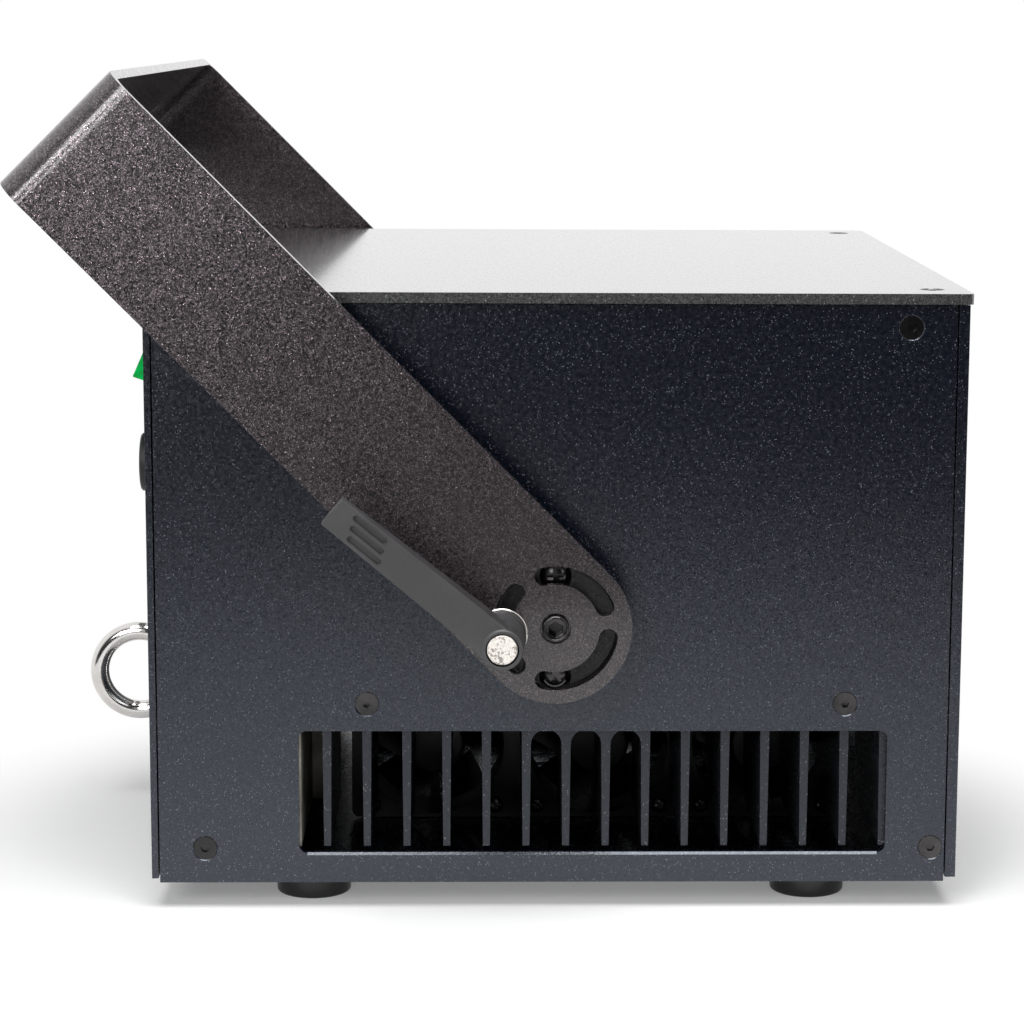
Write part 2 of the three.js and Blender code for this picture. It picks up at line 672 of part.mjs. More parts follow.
// The base with the bars along its front and rear edges that the screws enter
function baseTray() {
  const railTop = baseTop + LOW_RAIL_HEIGHT;
  const panel = joined(
    block(insideRearX, insideFrontX, -insideY, insideY, BASE_RECESS, baseTop),
    block(insideFrontX - FRONT_LOW_RAIL_WIDTH, insideFrontX, -insideY, insideY, BASE_RECESS, railTop),
    block(insideRearX, insideRearX + REAR_LOW_RAIL_WIDTH, -insideY, insideY, BASE_RECESS, railTop),
  );
  const rowSpan = (INTAKE_ROWS - 1) * INTAKE_SLOT_PITCH;
  const columnPitch = (finLast - finFirst - 2 * INTAKE_END_MARGIN) / INTAKE_COLUMNS;
  const slotLength = columnPitch - INTAKE_BRIDGE_WIDTH;
  const columnSpan = (INTAKE_COLUMNS - 1) * columnPitch;
  const [from, to] = [BASE_RECESS - CUT_OVERRUN, baseTop + CUT_OVERRUN];
  const slots = [];
  for (let row = 0; row < INTAKE_ROWS; row += 1) {
    for (let column = 0; column < INTAKE_COLUMNS; column += 1) {
      const x = finMiddle + column * columnPitch - columnSpan / 2;
      const y = row * INTAKE_SLOT_PITCH - rowSpan / 2;
      const shape = centredOutline(x, y, slotLength, INTAKE_SLOT_WIDTH, INTAKE_SLOT_WIDTH / 2);
      slots.push(plate('z', shape, from, to));
    }
  }
  return drilled(cut(panel, ...slots));
}

function topRail(xLow, xHigh) {
  return drilled(block(xLow, xHigh, -insideY, insideY, SIDE_HEIGHT - TOP_RAIL_HEIGHT, SIDE_HEIGHT));
}

// The rear rail is notched over the mains switch and the key switch
function rearTopRail() {
  const rail = topRail(insideRearX, insideRearX + TOP_RAIL_WIDTH);
  const half = switchBodyWidth / 2 + RAIL_NOTCH_CLEARANCE;
  const switchTop = upperRow + switchBodyHeight / 2 + RAIL_NOTCH_CLEARANCE;
  const [from, to] = [insideRearX - CUT_OVERRUN, insideRearX + TOP_RAIL_WIDTH + CUT_OVERRUN];
  return cut(rail, block(from, to, switchPlace[0] - half, switchPlace[0] + half, BENCH_MIDDLE, switchTop),
    bar('x', KEY_BARREL_RADIUS + RAIL_NOTCH_CLEARANCE, from, to, keyPlace));
}

function addHousing() {
  addPair('side_panel', sidePanel(), 'panel');
  addPiece('top_cover', topCover(), 'cover');
  addPiece('front_panel', frontPanel(), 'panel');
  addPiece('rear_panel', rearPanel(), 'panel');
  addPiece('base_tray', baseTray(), 'panel');
  addPiece('front_top_rail', topRail(insideFrontX - TOP_RAIL_WIDTH, insideFrontX), 'aluminium');
  addPiece('rear_top_rail', rearTopRail(), 'aluminium');
}

// Feet

const footPlaces = [rearX + FOOT_REAR_INSET, frontX - FOOT_FRONT_INSET]
  .flatMap((x) => [FOOT_SIDE_INSET - sideY, sideY - FOOT_SIDE_INSET].map((y) => [x, y]));
const footTop = BASE_RECESS - FIT_GAP;

function foot(place) {
  const low = -FOOT_HEIGHT;
  const recessTop = low + FOOT_RECESS_DEPTH;
  const profile = [[0, footTop], [FOOT_TOP_RADIUS, footTop], [FOOT_LOW_RADIUS, low + FOOT_EDGE_ROUND],
    [FOOT_LOW_RADIUS - FOOT_EDGE_ROUND, low], [FOOT_RECESS_RADIUS, low], [FOOT_RECESS_RADIUS, recessTop],
    [0, recessTop]];
  return revolve('z', profile, place);
}

function addFeet() {
  const names = ['rear_right', 'rear_left', 'front_right', 'front_left'];
  names.forEach((name, i) => addPiece(`rubber_foot_${name}`, foot(footPlaces[i]), 'rubber'));
}

// Optical bench, heat sinks and fans

const sinkOuterY = sideInnerY - SINK_END_SETBACK;
const sinkInnerY = sinkOuterY - SINK_DEPTH;
const sinkTop = benchBottom - FIT_GAP;

function bench() {
  return drilled(block(insideRearX, insideFrontX, -insideY, insideY, benchBottom, benchTop));
}

// The gap on the front side of a fin; the three in the middle end in a full round
function finGap(shape, index) {
  const left = finFirst + index * finPitch;
  const right = left + finPitch;
  const [root, tip] = [FIN_ROOT_THICKNESS / 2, FIN_TIP_THICKNESS / 2];
  const middleGap = (FIN_COUNT - 3) / 2;
  shape.lineTo(left + tip, FIN_TIP_HEIGHT);
  if (Math.abs(index - middleGap) <= 1) {
    const radius = finPitch / 2 - root;
    for (let third = 3; third > 0; third -= 1) {
      const [from, to] = [(third * Math.PI) / 3, ((third - 1) * Math.PI) / 3];
      shape.absarc((left + right) / 2, ROUND_ROOT_HEIGHT - radius, radius, from, to, true);
    }
  } else {
    const fillet = FIN_ROOT_FILLET;
    shape.absarc(left + root + fillet, FIN_ROOT_HEIGHT - fillet, fillet, Math.PI, Math.PI / 2, true);
    shape.absarc(right - root - fillet, FIN_ROOT_HEIGHT - fillet, fillet, Math.PI / 2, 0, true);
  }
  shape.lineTo(right - tip, FIN_TIP_HEIGHT);
}

function heatSink() {
  const tip = FIN_TIP_THICKNESS / 2;
  const cheekInner = finFirst - FIN_ROOT_THICKNESS / 2 - SINK_CHEEK_GAP;
  const cheekOuter = cheekInner - SINK_CHEEK_THICKNESS;
  const shape = new THREE.Shape();
  shape.moveTo(cheekOuter, sinkTop);
  shape.lineTo(cheekOuter, FIN_TIP_HEIGHT);
  shape.lineTo(cheekInner, FIN_TIP_HEIGHT);
  shape.lineTo(cheekInner, FIN_ROOT_HEIGHT);
  shape.lineTo(finFirst - FIN_ROOT_THICKNESS / 2, FIN_ROOT_HEIGHT);
  shape.lineTo(finFirst - tip, FIN_TIP_HEIGHT);
  for (let index = 0; index < FIN_COUNT - 1; index += 1) finGap(shape, index);
  shape.lineTo(finLast + tip, FIN_TIP_HEIGHT);
  shape.lineTo(finLast + FIN_ROOT_THICKNESS / 2, sinkTop);
  shape.closePath();
  return plate('y', shape, -sinkOuterY, -sinkInnerY);
}

const fanPlateY = FAN_PLATE_SETBACK - sinkInnerY;
const fanFaceY = fanPlateY + FAN_PLATE_THICKNESS;
const fanBackY = fanFaceY + FAN_DEPTH;
const fanLow = baseTop + FIT_GAP;
const fanPitch = (finLast - finFirst - 2 * FAN_BANK_MARGIN) / FANS_PER_SIDE;
const fanSize = Math.min(fanPitch - FAN_SPACING, sinkTop - fanLow);
const fanOpeningRadius = fanSize / 2 - FAN_RIM;
const fanMiddleZ = fanLow + fanSize / 2;
const fanCentres = Array.from({ length: FANS_PER_SIDE }, (_, i) => {
  return finMiddle + (i - (FANS_PER_SIDE - 1) / 2) * fanPitch;
});

// The struts, motor cup and shaft at the back of one fan
function fanStator(centre) {
  const place = [centre, fanMiddleZ];
  const statorY = fanBackY - FAN_STATOR_THICKNESS;
  const half = fanOpeningRadius + FAN_RUNNING_GAP;
  const strut = FAN_STRUT_WIDTH / 2;
  return [
    bar('y', FAN_HUB_RADIUS, statorY, fanBackY, place, SMALL_SIDES),
    block(centre - half, centre + half, statorY, fanBackY, fanMiddleZ - strut, fanMiddleZ + strut),
    block(centre - strut, centre + strut, statorY, fanBackY, fanMiddleZ - half, fanMiddleZ + half),
    bar('y', FAN_SHAFT_RADIUS, statorY - FAN_SHAFT_LENGTH, fanBackY, place, TINY_SIDES),
  ];
}

// Three fan frames on the plate that carries them
function fanBank() {
  const half = (FANS_PER_SIDE * fanPitch) / 2;
  const outer = roundedOutline(finMiddle - half, finMiddle + half, fanLow, sinkTop, FAN_CORNER);
  const mount = plate('y', outer, fanPlateY, fanFaceY);
  const frames = fanCentres.map((centre) => {
    const shape = centredOutline(centre, fanMiddleZ, fanSize, fanSize, FAN_CORNER);
    return plate('y', shape, fanPlateY + FAN_PLATE_THICKNESS / 2, fanBackY);
  });
  const [from, to] = [fanPlateY - CUT_OVERRUN, fanBackY + CUT_OVERRUN];
  const openings = fanCentres.map((centre) => {
    return bar('y', fanOpeningRadius, from, to, [centre, fanMiddleZ], ROUND_SIDES);
  });
  return joined(cut(joined(mount, ...frames), ...openings), ...fanCentres.flatMap(fanStator));
}

// A cambered blade that leans across the fan and reaches from its hub to just inside its opening
function fanBlade() {
  const half = FAN_BLADE_CHORD / 2;
  const camber = FAN_BLADE_CAMBER;
  const thick = FAN_BLADE_THICKNESS;
  const section = outline([[-half, 0], [0, -camber], [half, 0], [half, thick], [0, thick - camber],
    [-half, thick]]);
  const lean = FAN_BLADE_LEAN * DEGREE;
  const reach = Math.hypot(half * Math.cos(lean), camber + thick);
  const tip = Math.sqrt((fanOpeningRadius - FAN_TIP_GAP) ** 2 - reach ** 2);
  return plate('z', section, FAN_HUB_RADIUS - 2 * thick, tip).rotateZ(lean);
}

function fanRotor(centre) {
  const front = FAN_HUB_SETBACK;
  const back = front + FAN_HUB_LENGTH;
  const hub = cut(bar('y', FAN_HUB_RADIUS, front, back, [0, 0], HUB_SIDES),
    bar('y', FAN_SHAFT_RADIUS + FAN_RUNNING_GAP, back - FAN_SHAFT_LENGTH, back + CUT_OVERRUN, [0, 0],
      TINY_SIDES));
  const blades = [];
  for (let i = 0; i < FAN_BLADE_COUNT; i += 1) {
    const blade = fanBlade().translate(0, front + FAN_HUB_LENGTH / 2, 0);
    blades.push(blade.rotateY((i / FAN_BLADE_COUNT) * Math.PI * 2));
  }
  return joined(hub, ...blades).translate(centre, fanFaceY, fanMiddleZ);
}

function addCooling() {
  addPiece('optical_bench', bench(), 'aluminium');
  addPair('heat_sink', heatSink(), 'anodised');
  addPair('fan_bank', fanBank(), 'plastic');
  fanCentres.forEach((centre, i) => addPair(`fan_rotor_${i + 1}`, fanRotor(centre), 'plastic'));
}

// Yoke bracket, modelled upright about its pivot and then leant back

const pivotPlace = [PIVOT_OFFSET, PIVOT_HEIGHT];
const armInnerY = sideY + BRACKET_GAP;
const armOuterY = armInnerY + BRACKET_THICKNESS;

function aroundPivot(radius, degrees) {
  const angle = degrees * DEGREE;
  return [PIVOT_OFFSET + radius * Math.cos(angle), PIVOT_HEIGHT + radius * Math.sin(angle)];
}

// The bent bar seen along its width, as a strip of constant thickness
function yokeStrip() {
  const [outer, inner] = [armOuterY, armInnerY];
  const bend = BRACKET_BEND_RADIUS;
  const innerBend = bend - BRACKET_THICKNESS;
  const corner = BRACKET_REACH - bend;
  const low = -BRACKET_HALF_WIDTH - CUT_OVERRUN;
  const shape = new THREE.Shape();
  shape.moveTo(-outer, low);
  shape.lineTo(-inner, low);
  shape.absarc(innerBend - inner, corner, innerBend, Math.PI, Math.PI / 2, true);
  shape.absarc(inner - innerBend, corner, innerBend, Math.PI / 2, 0, true);
  shape.lineTo(inner, low);
  shape.lineTo(outer, low);
  shape.absarc(outer - bend, corner, bend, 0, Math.PI / 2);
  shape.absarc(bend - outer, corner, bend, Math.PI / 2, Math.PI);
  shape.closePath();
  return plate('x', shape, -BRACKET_HALF_WIDTH - CUT_OVERRUN, BRACKET_HALF_WIDTH + CUT_OVERRUN, BEND_STEPS);
}

// The bar seen from the side: parallel edges and a round end about the pivot
function armOutline() {
  const half = BRACKET_HALF_WIDTH;
  const shape = new THREE.Shape();
  shape.absarc(0, 0, half, Math.PI, Math.PI * 2);
  shape.lineTo(half, BRACKET_REACH + CUT_OVERRUN);
  shape.lineTo(-half, BRACKET_REACH + CUT_OVERRUN);
  shape.closePath();
  return plate('y', shape, -armOuterY - CUT_OVERRUN, armOuterY + CUT_OVERRUN, ARM_END_STEPS);
}

function bracket() {
  const across = armOuterY + CUT_OVERRUN;
  const slots = SLOT_ENDS.map(([from, to]) => {
    const slot = arcSlot(SLOT_RADIUS, SLOT_WIDTH, from * DEGREE, to * DEGREE);
    return plate('y', slot, -across, across, BEND_STEPS);
  });
  const hole = bar('y', PIVOT_SCREW_RADIUS + SHAFT_CLEARANCE, -across, across, [0, 0], CONNECTOR_SIDES);
  const sinkFloor = armOuterY - PIVOT_SINK_DEPTH;
  const sinks = [[sinkFloor, across], [-across, -sinkFloor]].map(([from, to]) => {
    return bar('y', PIVOT_SINK_RADIUS, from, to, [0, 0], CONNECTOR_SIDES);
  });
  const [barLow, barHigh] = [BRACKET_REACH - BRACKET_THICKNESS - CUT_OVERRUN, BRACKET_REACH + CUT_OVERRUN];
  const rigHoles = [
    bar('z', RIG_HOLE_RADIUS, barLow, barHigh, [0, 0], HUB_SIDES),
    bar('z', SIDE_RIG_HOLE_RADIUS, barLow, barHigh, [0, SIDE_RIG_HOLE_OFFSET], HUB_SIDES),
    bar('z', SIDE_RIG_HOLE_RADIUS, barLow, barHigh, [0, -SIDE_RIG_HOLE_OFFSET], HUB_SIDES),
  ];
  const shape = cut(common(yokeStrip(), armOutline()), ...slots, hole, ...sinks, ...rigHoles);
  return shape.rotateY(-BRACKET_LEAN * DEGREE).translate(PIVOT_OFFSET, 0, PIVOT_HEIGHT);
}

// Hub parts, made on the right side and copied to the left

const hubOuterY = armInnerY - FIT_GAP;
const hubInnerY = sideY + FIT_GAP;
const clampPlace = aroundPivot(SLOT_RADIUS, CLAMP_ANGLE);

function hubScrewPlaces() {
  return [90, 270].map((angle) => aroundPivot(HUB_SCREW_OFFSET, angle));
}

function hub() {
  const step = hubInnerY + HUB_FLANGE_THICKNESS;
  const profile = [[0, -hubInnerY], [HUB_FLANGE_RADIUS, -hubInnerY], [HUB_FLANGE_RADIUS, -step],
    [HUB_BOSS_RADIUS, -step], [HUB_BOSS_RADIUS, -hubOuterY], [0, -hubOuterY]];
  const body = revolve('y', profile, pivotPlace, LARGE_SIDES);
  const [from, to] = [-hubOuterY - CUT_OVERRUN, -hubInnerY + CUT_OVERRUN];
  const recessFloor = HUB_SCREW_RECESS_DEPTH - hubOuterY;
  const screwRooms = hubScrewPlaces().flatMap((place) => [
    bar('y', HUB_SCREW_HOLE_RADIUS, from, to, place, TINY_SIDES),
    bar('y', HUB_SCREW_RECESS_RADIUS, from, recessFloor, place, HUB_SIDES),
  ]);
  return cut(body, ...screwRooms,
    bar('y', PIVOT_SCREW_RADIUS + SHAFT_CLEARANCE, from, to, pivotPlace, HUB_SIDES),
    bar('y', STUD_RADIUS + SHAFT_CLEARANCE, from, to, clampPlace, HUB_SIDES));
}

function pivotScrew() {
  const headBack = PIVOT_SINK_DEPTH - armOuterY - FIT_GAP;
  const headFront = headBack - PIVOT_SCREW_HEAD_HEIGHT;
  const profile = [[0, headFront], [PIVOT_SCREW_HEAD_RADIUS, headFront], [PIVOT_SCREW_HEAD_RADIUS, headBack],
    [PIVOT_SCREW_RADIUS, headBack], [PIVOT_SCREW_RADIUS, -hubInnerY], [0, -hubInnerY]];
  const body = revolve('y', profile, pivotPlace, ROUND_SIDES);
  const socketFloor = headFront + PIVOT_SCREW_SOCKET_DEPTH;
  return cut(body, bar('y', PIVOT_SCREW_SOCKET_RADIUS, headFront - CUT_OVERRUN, socketFloor, pivotPlace, 6));
}

// Clamp lever, with heights counted outwards from the washer

const washerFaceY = armOuterY + FIT_GAP + CLAMP_WASHER_THICKNESS;
const leverBase = washerFaceY + FIT_GAP;
const leverTop = leverBase + LEVER_HUB_HEIGHT;

function clampWasher() {
  const [outer, inner] = [washerFaceY, armOuterY + FIT_GAP];
  const disc = bar('y', CLAMP_WASHER_RADIUS, -outer, -inner, clampPlace, ROUND_SIDES);
  const hole = bar('y', STUD_RADIUS + SHAFT_CLEARANCE, -outer - CUT_OVERRUN, -inner + CUT_OVERRUN, clampPlace,
    HUB_SIDES);
  return cut(disc, hole);
}

// The lever lies along +X here, with its height along +Z above the washer
function leverArm() {
  const rise = LEVER_TIP_LIFT;
  const [hubTop, tipTop] = [LEVER_HUB_HEIGHT - LEVER_TOP_SINK, LEVER_HUB_HEIGHT + rise];
  const side = outline([[0, hubTop - LEVER_HUB_DEPTH], [LEVER_HUB_LOW_RADIUS, hubTop - LEVER_HUB_DEPTH],
    [LEVER_LENGTH, tipTop - LEVER_TIP_DEPTH], [LEVER_LENGTH, tipTop], [LEVER_HUB_LOW_RADIUS, hubTop],
    [0, hubTop]]);
  const plan = outline([[0, -LEVER_HUB_WIDTH / 2], [LEVER_LENGTH, -LEVER_TIP_WIDTH / 2],
    [LEVER_LENGTH, LEVER_TIP_WIDTH / 2], [0, LEVER_HUB_WIDTH / 2]]);
  const arm = common(plate('y', side, -LEVER_HUB_WIDTH, LEVER_HUB_WIDTH),
    plate('z', plan, 0, tipTop + CUT_OVERRUN));
  const slope = Math.atan2(tipTop - hubTop, LEVER_LENGTH - LEVER_HUB_LOW_RADIUS);
  const grooves = [-1, 0, 1].map((row) => {
    const shape = roundedOutline(0, GROOVE_LENGTH, -GROOVE_WIDTH / 2, GROOVE_WIDTH / 2, GROOVE_WIDTH / 2);
    const cutter = plate('z', shape, -GROOVE_DEPTH, CUT_OVERRUN).rotateY(-slope);
    const height = hubTop + (GROOVE_START - LEVER_HUB_LOW_RADIUS) * Math.tan(slope);
    return cutter.translate(GROOVE_START, row * GROOVE_PITCH, height);
  });
  return cut(arm, ...grooves);
}

function clampLever() {
  const top = LEVER_HUB_HEIGHT;
  const bore = STUD_RADIUS + SHAFT_CLEARANCE;
  const headRoom = STUD_HEAD_RADIUS + STUD_HEAD_GAP;
  const profile = [[0, 0], [LEVER_HUB_LOW_RADIUS, 0], [LEVER_HUB_LOW_RADIUS, LEVER_COLLAR_HEIGHT],
    [LEVER_HUB_TOP_RADIUS, top - LEVER_TOP_SINK], [LEVER_HUB_TOP_RADIUS - LEVER_TOP_SINK / 2, top], [0, top]];
  const body = joined(revolve('z', profile, [0, 0]), leverArm());
  const lever = cut(body, bar('z', bore, -CUT_OVERRUN, top + CUT_OVERRUN, [0, 0], HUB_SIDES),
    bar('z', headRoom, top - STUD_HEAD_HEIGHT - FIT_GAP, top + LEVER_TIP_LIFT, [0, 0], ROUND_SIDES));
  lever.rotateZ(Math.PI - LEVER_ANGLE * DEGREE).rotateX(Math.PI / 2);
  return lever.translate(clampPlace[0], -leverBase, clampPlace[1]);
}

function clampStud() {
  const headLow = leverTop - STUD_HEAD_HEIGHT;
  const profile = [[0, -leverTop], [STUD_HEAD_RADIUS, -leverTop], [STUD_HEAD_RADIUS, -headLow],
    [STUD_RADIUS, -headLow], [STUD_RADIUS, -hubInnerY], [0, -hubInnerY]];
  return revolve('y', profile, clampPlace, ROUND_SIDES);
}

function addBracket() {
  addPiece('bracket', bracket(), 'bracket');
  addPair('hub_disc', hub(), 'anodised');
  addPair('pivot_screw', pivotScrew(), 'blackSteel');
  addPair('clamp_washer', clampWasher(), 'steel');
  addPair('clamp_lever', clampLever(), 'leverPlastic');
  addPair('clamp_stud', clampStud(), 'steel');
}

// Rear panel fittings

const switchPlace = [SWITCH_SIDE_INSET - sideY, upperRow];
const switchBodyWidth = SWITCH_BEZEL_WIDTH - SWITCH_WALL;
const switchBodyHeight = SWITCH_BEZEL_HEIGHT - SWITCH_WALL;
const mainsPlaces = [0, 1].map((i) => [switchPlace[0] + i * MAINS_PITCH, lowerRow]);
const socketPlaces = Array.from({ length: SOCKET_COUNT }, (_, i) => {
  return [switchPlace[0] + SOCKET_FIRST_OFFSET + i * SOCKET_PITCH, lowerRow];
});
const laserPortPlaces = Array.from({ length: LASER_PORT_COUNT }, (_, i) => {
  return [switchPlace[0] + LASER_PORT_FIRST_OFFSET + i * LASER_PORT_PITCH, upperRow];
});
const dataSocketPlace = [switchPlace[0] + DATA_SOCKET_OFFSET, upperRow];
const keyPlace = [sideY - KEY_SIDE_INSET, upperRow];
const eyePlace = [0, EYE_HEIGHT];
const rockerHalfWidth = (SWITCH_BEZEL_WIDTH - 2 * SWITCH_WALL) / 2;

function switchHousing() {
  const [y, z] = switchPlace;
  const bezelX = rearX - FIT_GAP;
  const bezel = plate('x', centredOutline(y, z, SWITCH_BEZEL_WIDTH, SWITCH_BEZEL_HEIGHT, SWITCH_WALL / 2),
    bezelX - SWITCH_BEZEL_THICKNESS, bezelX);
  const body = block(bezelX - SWITCH_BEZEL_THICKNESS / 2, rearX + SWITCH_BODY_DEPTH, y - switchBodyWidth / 2,
    y + switchBodyWidth / 2, z - switchBodyHeight / 2, z + switchBodyHeight / 2);
  const halfWidth = rockerHalfWidth + ROCKER_SIDE_GAP;
  const halfHeight = ROCKER_HALF_HEIGHT + ROCKER_END_GAP;
  const cavity = block(bezelX - SWITCH_BEZEL_THICKNESS - CUT_OVERRUN, rearX + ROCKER_CAVITY_DEPTH,
    y - halfWidth, y + halfWidth, z - halfHeight, z + halfHeight);
  return cut(joined(bezel, body), cavity);
}

// Seen along Y, with its pressed and raised halves meeting in a shallow valley
function switchRocker() {
  const half = ROCKER_HALF_HEIGHT;
  const crest = ROCKER_VALLEY + half * Math.tan(ROCKER_HALF_ANGLE * DEGREE);
  const reach = Math.hypot(half, crest);
  const crestAngle = Math.atan2(crest, half);
  const skirtAngle = crestAngle - ROCKER_SKIRT_ANGLE * DEGREE;
  const shape = new THREE.Shape();
  shape.moveTo(ROCKER_DEPTH, -ROCKER_FOOT_HALF_HEIGHT);
  shape.lineTo(ROCKER_DEPTH, ROCKER_FOOT_HALF_HEIGHT);
  shape.lineTo(-reach * Math.sin(skirtAngle), reach * Math.cos(skirtAngle));
  shape.lineTo(-crest, half);
  shape.lineTo(-ROCKER_VALLEY, 0);
  shape.lineTo(-crest, -half);
  shape.lineTo(-reach * Math.sin(skirtAngle), -reach * Math.cos(skirtAngle));
  shape.closePath();
  const [y, z] = switchPlace;
  const rocker = plate('y', shape, -rockerHalfWidth, rockerHalfWidth);
  return rocker.rotateY(ROCKER_TILT * DEGREE).translate(rearX, y, z);
}

function mainsConnector(place) {
  const face = rearX - MAINS_COLLAR_PROUD;
  const back = rearX + MAINS_BODY_DEPTH;
  const profile = [[0, back], [MAINS_COLLAR_RADIUS, back], [MAINS_COLLAR_RADIUS, face + FIT_GAP],
    [MAINS_COLLAR_RADIUS - FIT_GAP, face], [MAINS_BORE_RADIUS, face],
    [MAINS_BORE_RADIUS, face + MAINS_BORE_DEPTH], [0, face + MAINS_BORE_DEPTH]];
  const flange = plate('x', centredOutline(place[0], place[1], SOCKET_FLANGE_WIDTH, SOCKET_FLANGE_HEIGHT,
    SOCKET_FLANGE_CORNER), insideRearX, insideRearX + MAINS_FLANGE_THICKNESS);
  const bore = bar('x', MAINS_BORE_RADIUS, face, face + MAINS_BORE_DEPTH, place, CONNECTOR_SIDES);
  return joined(revolve('x', profile, place, CONNECTOR_SIDES), cut(flange, bore));
}

function signalSocket(place) {
  const face = rearX - FIT_GAP - SOCKET_FLANGE_THICKNESS;
  const flange = plate('x', centredOutline(place[0], place[1], SOCKET_FLANGE_WIDTH, SOCKET_FLANGE_HEIGHT,
    SOCKET_FLANGE_CORNER), face, rearX - FIT_GAP);
  const barrel = bar('x', SOCKET_BARREL_RADIUS, face, rearX + SOCKET_BODY_DEPTH, place, CONNECTOR_SIDES);
  return cut(joined(flange, barrel),
    bar('x', SOCKET_BORE_RADIUS, face - CUT_OVERRUN, face + SOCKET_BORE_DEPTH, place, CONNECTOR_SIDES));
}

// The control board stands behind the rear panel and carries the ports that show through it
const boardX = rearX + BOARD_STANDOFF;

function controlBoard() {
  const y = switchPlace[0] + CONTROL_BOARD_OFFSET;
  const low = upperRow - CONTROL_BOARD_TALL + LASER_PORT_FLANGE_HEIGHT / 2;
  const high = SIDE_HEIGHT - TOP_RAIL_HEIGHT - FIT_GAP;
  const board = block(boardX, boardX + BOARD_THICKNESS, y, y + CONTROL_BOARD_WIDTH, low, high);
  return joined(board, ...laserPortPlaces.map(laserPort), dataSocket());
}

function laserPortPosts([y, z]) {
  return [-1, 1].map((side) => [y + (side * LASER_PORT_POST_SPACING) / 2, z]);
}

function laserPort(place) {
  const [y, z] = place;
  const [half, slope] = [LASER_PORT_SHELL_WIDTH / 2, LASER_PORT_SHELL_SLOPE];
  const [low, high] = [z - LASER_PORT_SHELL_HEIGHT / 2, z + LASER_PORT_SHELL_HEIGHT / 2];
  const face = rearX - LASER_PORT_PROUD;
  const shell = plate('x', outline([[y - half + slope, low], [y + half - slope, low], [y + half, high],
    [y - half, high]]), face, boardX + BOARD_THICKNESS / 2);
  const flange = plate('x', centredOutline(y, z, LASER_PORT_FLANGE_WIDTH, LASER_PORT_FLANGE_HEIGHT,
    LASER_PORT_FLANGE_THICKNESS), insideRearX, insideRearX + LASER_PORT_FLANGE_THICKNESS);
  const posts = laserPortPosts(place).map((post) => {
    return bar('x', LASER_PORT_POST_RADIUS, rearX - LASER_PORT_POST_LENGTH,
      insideRearX + LASER_PORT_FLANGE_THICKNESS, post, 6);
  });
  return joined(shell, flange, ...posts);
}

function dataSocket() {
  const [y, z] = dataSocketPlace;
  const face = rearX - DATA_SOCKET_PROUD;
  const body = block(face, boardX + BOARD_THICKNESS / 2, y - DATA_SOCKET_WIDTH / 2, y + DATA_SOCKET_WIDTH / 2,
    z - DATA_SOCKET_HEIGHT / 2, z + DATA_SOCKET_HEIGHT / 2);
  return cut(body, block(face - CUT_OVERRUN, face + DATA_PORT_DEPTH, y - DATA_PORT_WIDTH / 2,
    y + DATA_PORT_WIDTH / 2, z - DATA_PORT_HEIGHT / 2, z + DATA_PORT_HEIGHT / 2));
}

function keyBarrel() {
  const bore = KEY_PLUG_RADIUS + FIT_GAP;
  const face = rearX - FIT_GAP - KEY_BEZEL_THICKNESS;
  const back = rearX + KEY_BARREL_DEPTH;
  const profile = [[0, back], [KEY_BARREL_RADIUS, back], [KEY_BARREL_RADIUS, rearX - FIT_GAP],
    [KEY_BEZEL_RADIUS, rearX - FIT_GAP], [KEY_BEZEL_RADIUS, face + FIT_GAP],
    [KEY_BEZEL_RADIUS - FIT_GAP, face], [bore, face], [bore, face + KEY_PLUG_LENGTH + FIT_GAP],
    [0, face + KEY_PLUG_LENGTH + FIT_GAP]];
  return revolve('x', profile, keyPlace, CONNECTOR_SIDES);
}

// The key, standing in the plug that it turns
function key() {
  const face = rearX - FIT_GAP - KEY_BEZEL_THICKNESS;
  const [y, z] = keyPlace;
  const [wide, thin] = [KEY_BLADE_WIDTH / 2, KEY_BLADE_THICKNESS / 2];
  const bowX = face - KEY_NECK_LENGTH - KEY_BOW_RADIUS;
  const plug = bar('x', KEY_PLUG_RADIUS, face, face + KEY_PLUG_LENGTH, keyPlace, CONNECTOR_SIDES);
  const blade = block(bowX, face + CUT_OVERRUN, y - thin, y + thin, z - wide, z + wide);
  const bow = bar('y', KEY_BOW_RADIUS, y - thin, y + thin, [bowX, z], CONNECTOR_SIDES);
  const hole = bar('y', KEY_BOW_HOLE_RADIUS, y - wide, y + wide, [bowX - KEY_BOW_RADIUS / 2, z], SMALL_SIDES);
  return cut(joined(plug, blade, bow), hole);
}

// The eye bolt with the washer and nut that hold it behind the panel
function safetyEye() {
  const ringX = rearX - EYE_STANDOFF;
  const circle = new THREE.EllipseCurve(0, 0, EYE_BAR_RADIUS, EYE_BAR_RADIUS);
  const section = circle.getPoints(SMALL_SIDES).slice(1).map((point) => [EYE_RING_RADIUS + point.x, point.y]);
  const ring = revolve('y', [...section, section[0]], [ringX, EYE_HEIGHT], EYE_SIDES);
  const collarX = rearX - FIT_GAP;
  const collar = bar('x', EYE_COLLAR_RADIUS, collarX - EYE_COLLAR_THICKNESS, collarX, eyePlace);
  const shank = bar('x', EYE_SHANK_RADIUS, ringX + EYE_RING_RADIUS, rearX + EYE_SHANK_LENGTH, eyePlace,
    SMALL_SIDES);
  const washerX = insideRearX + EYE_WASHER_THICKNESS;
  const washer = bar('x', EYE_WASHER_RADIUS, insideRearX, washerX, eyePlace);
  const nut = bar('x', EYE_NUT_RADIUS, washerX - FIT_GAP, washerX + EYE_NUT_THICKNESS, eyePlace, 6);
  return joined(ring, collar, shank, washer, nut);
}

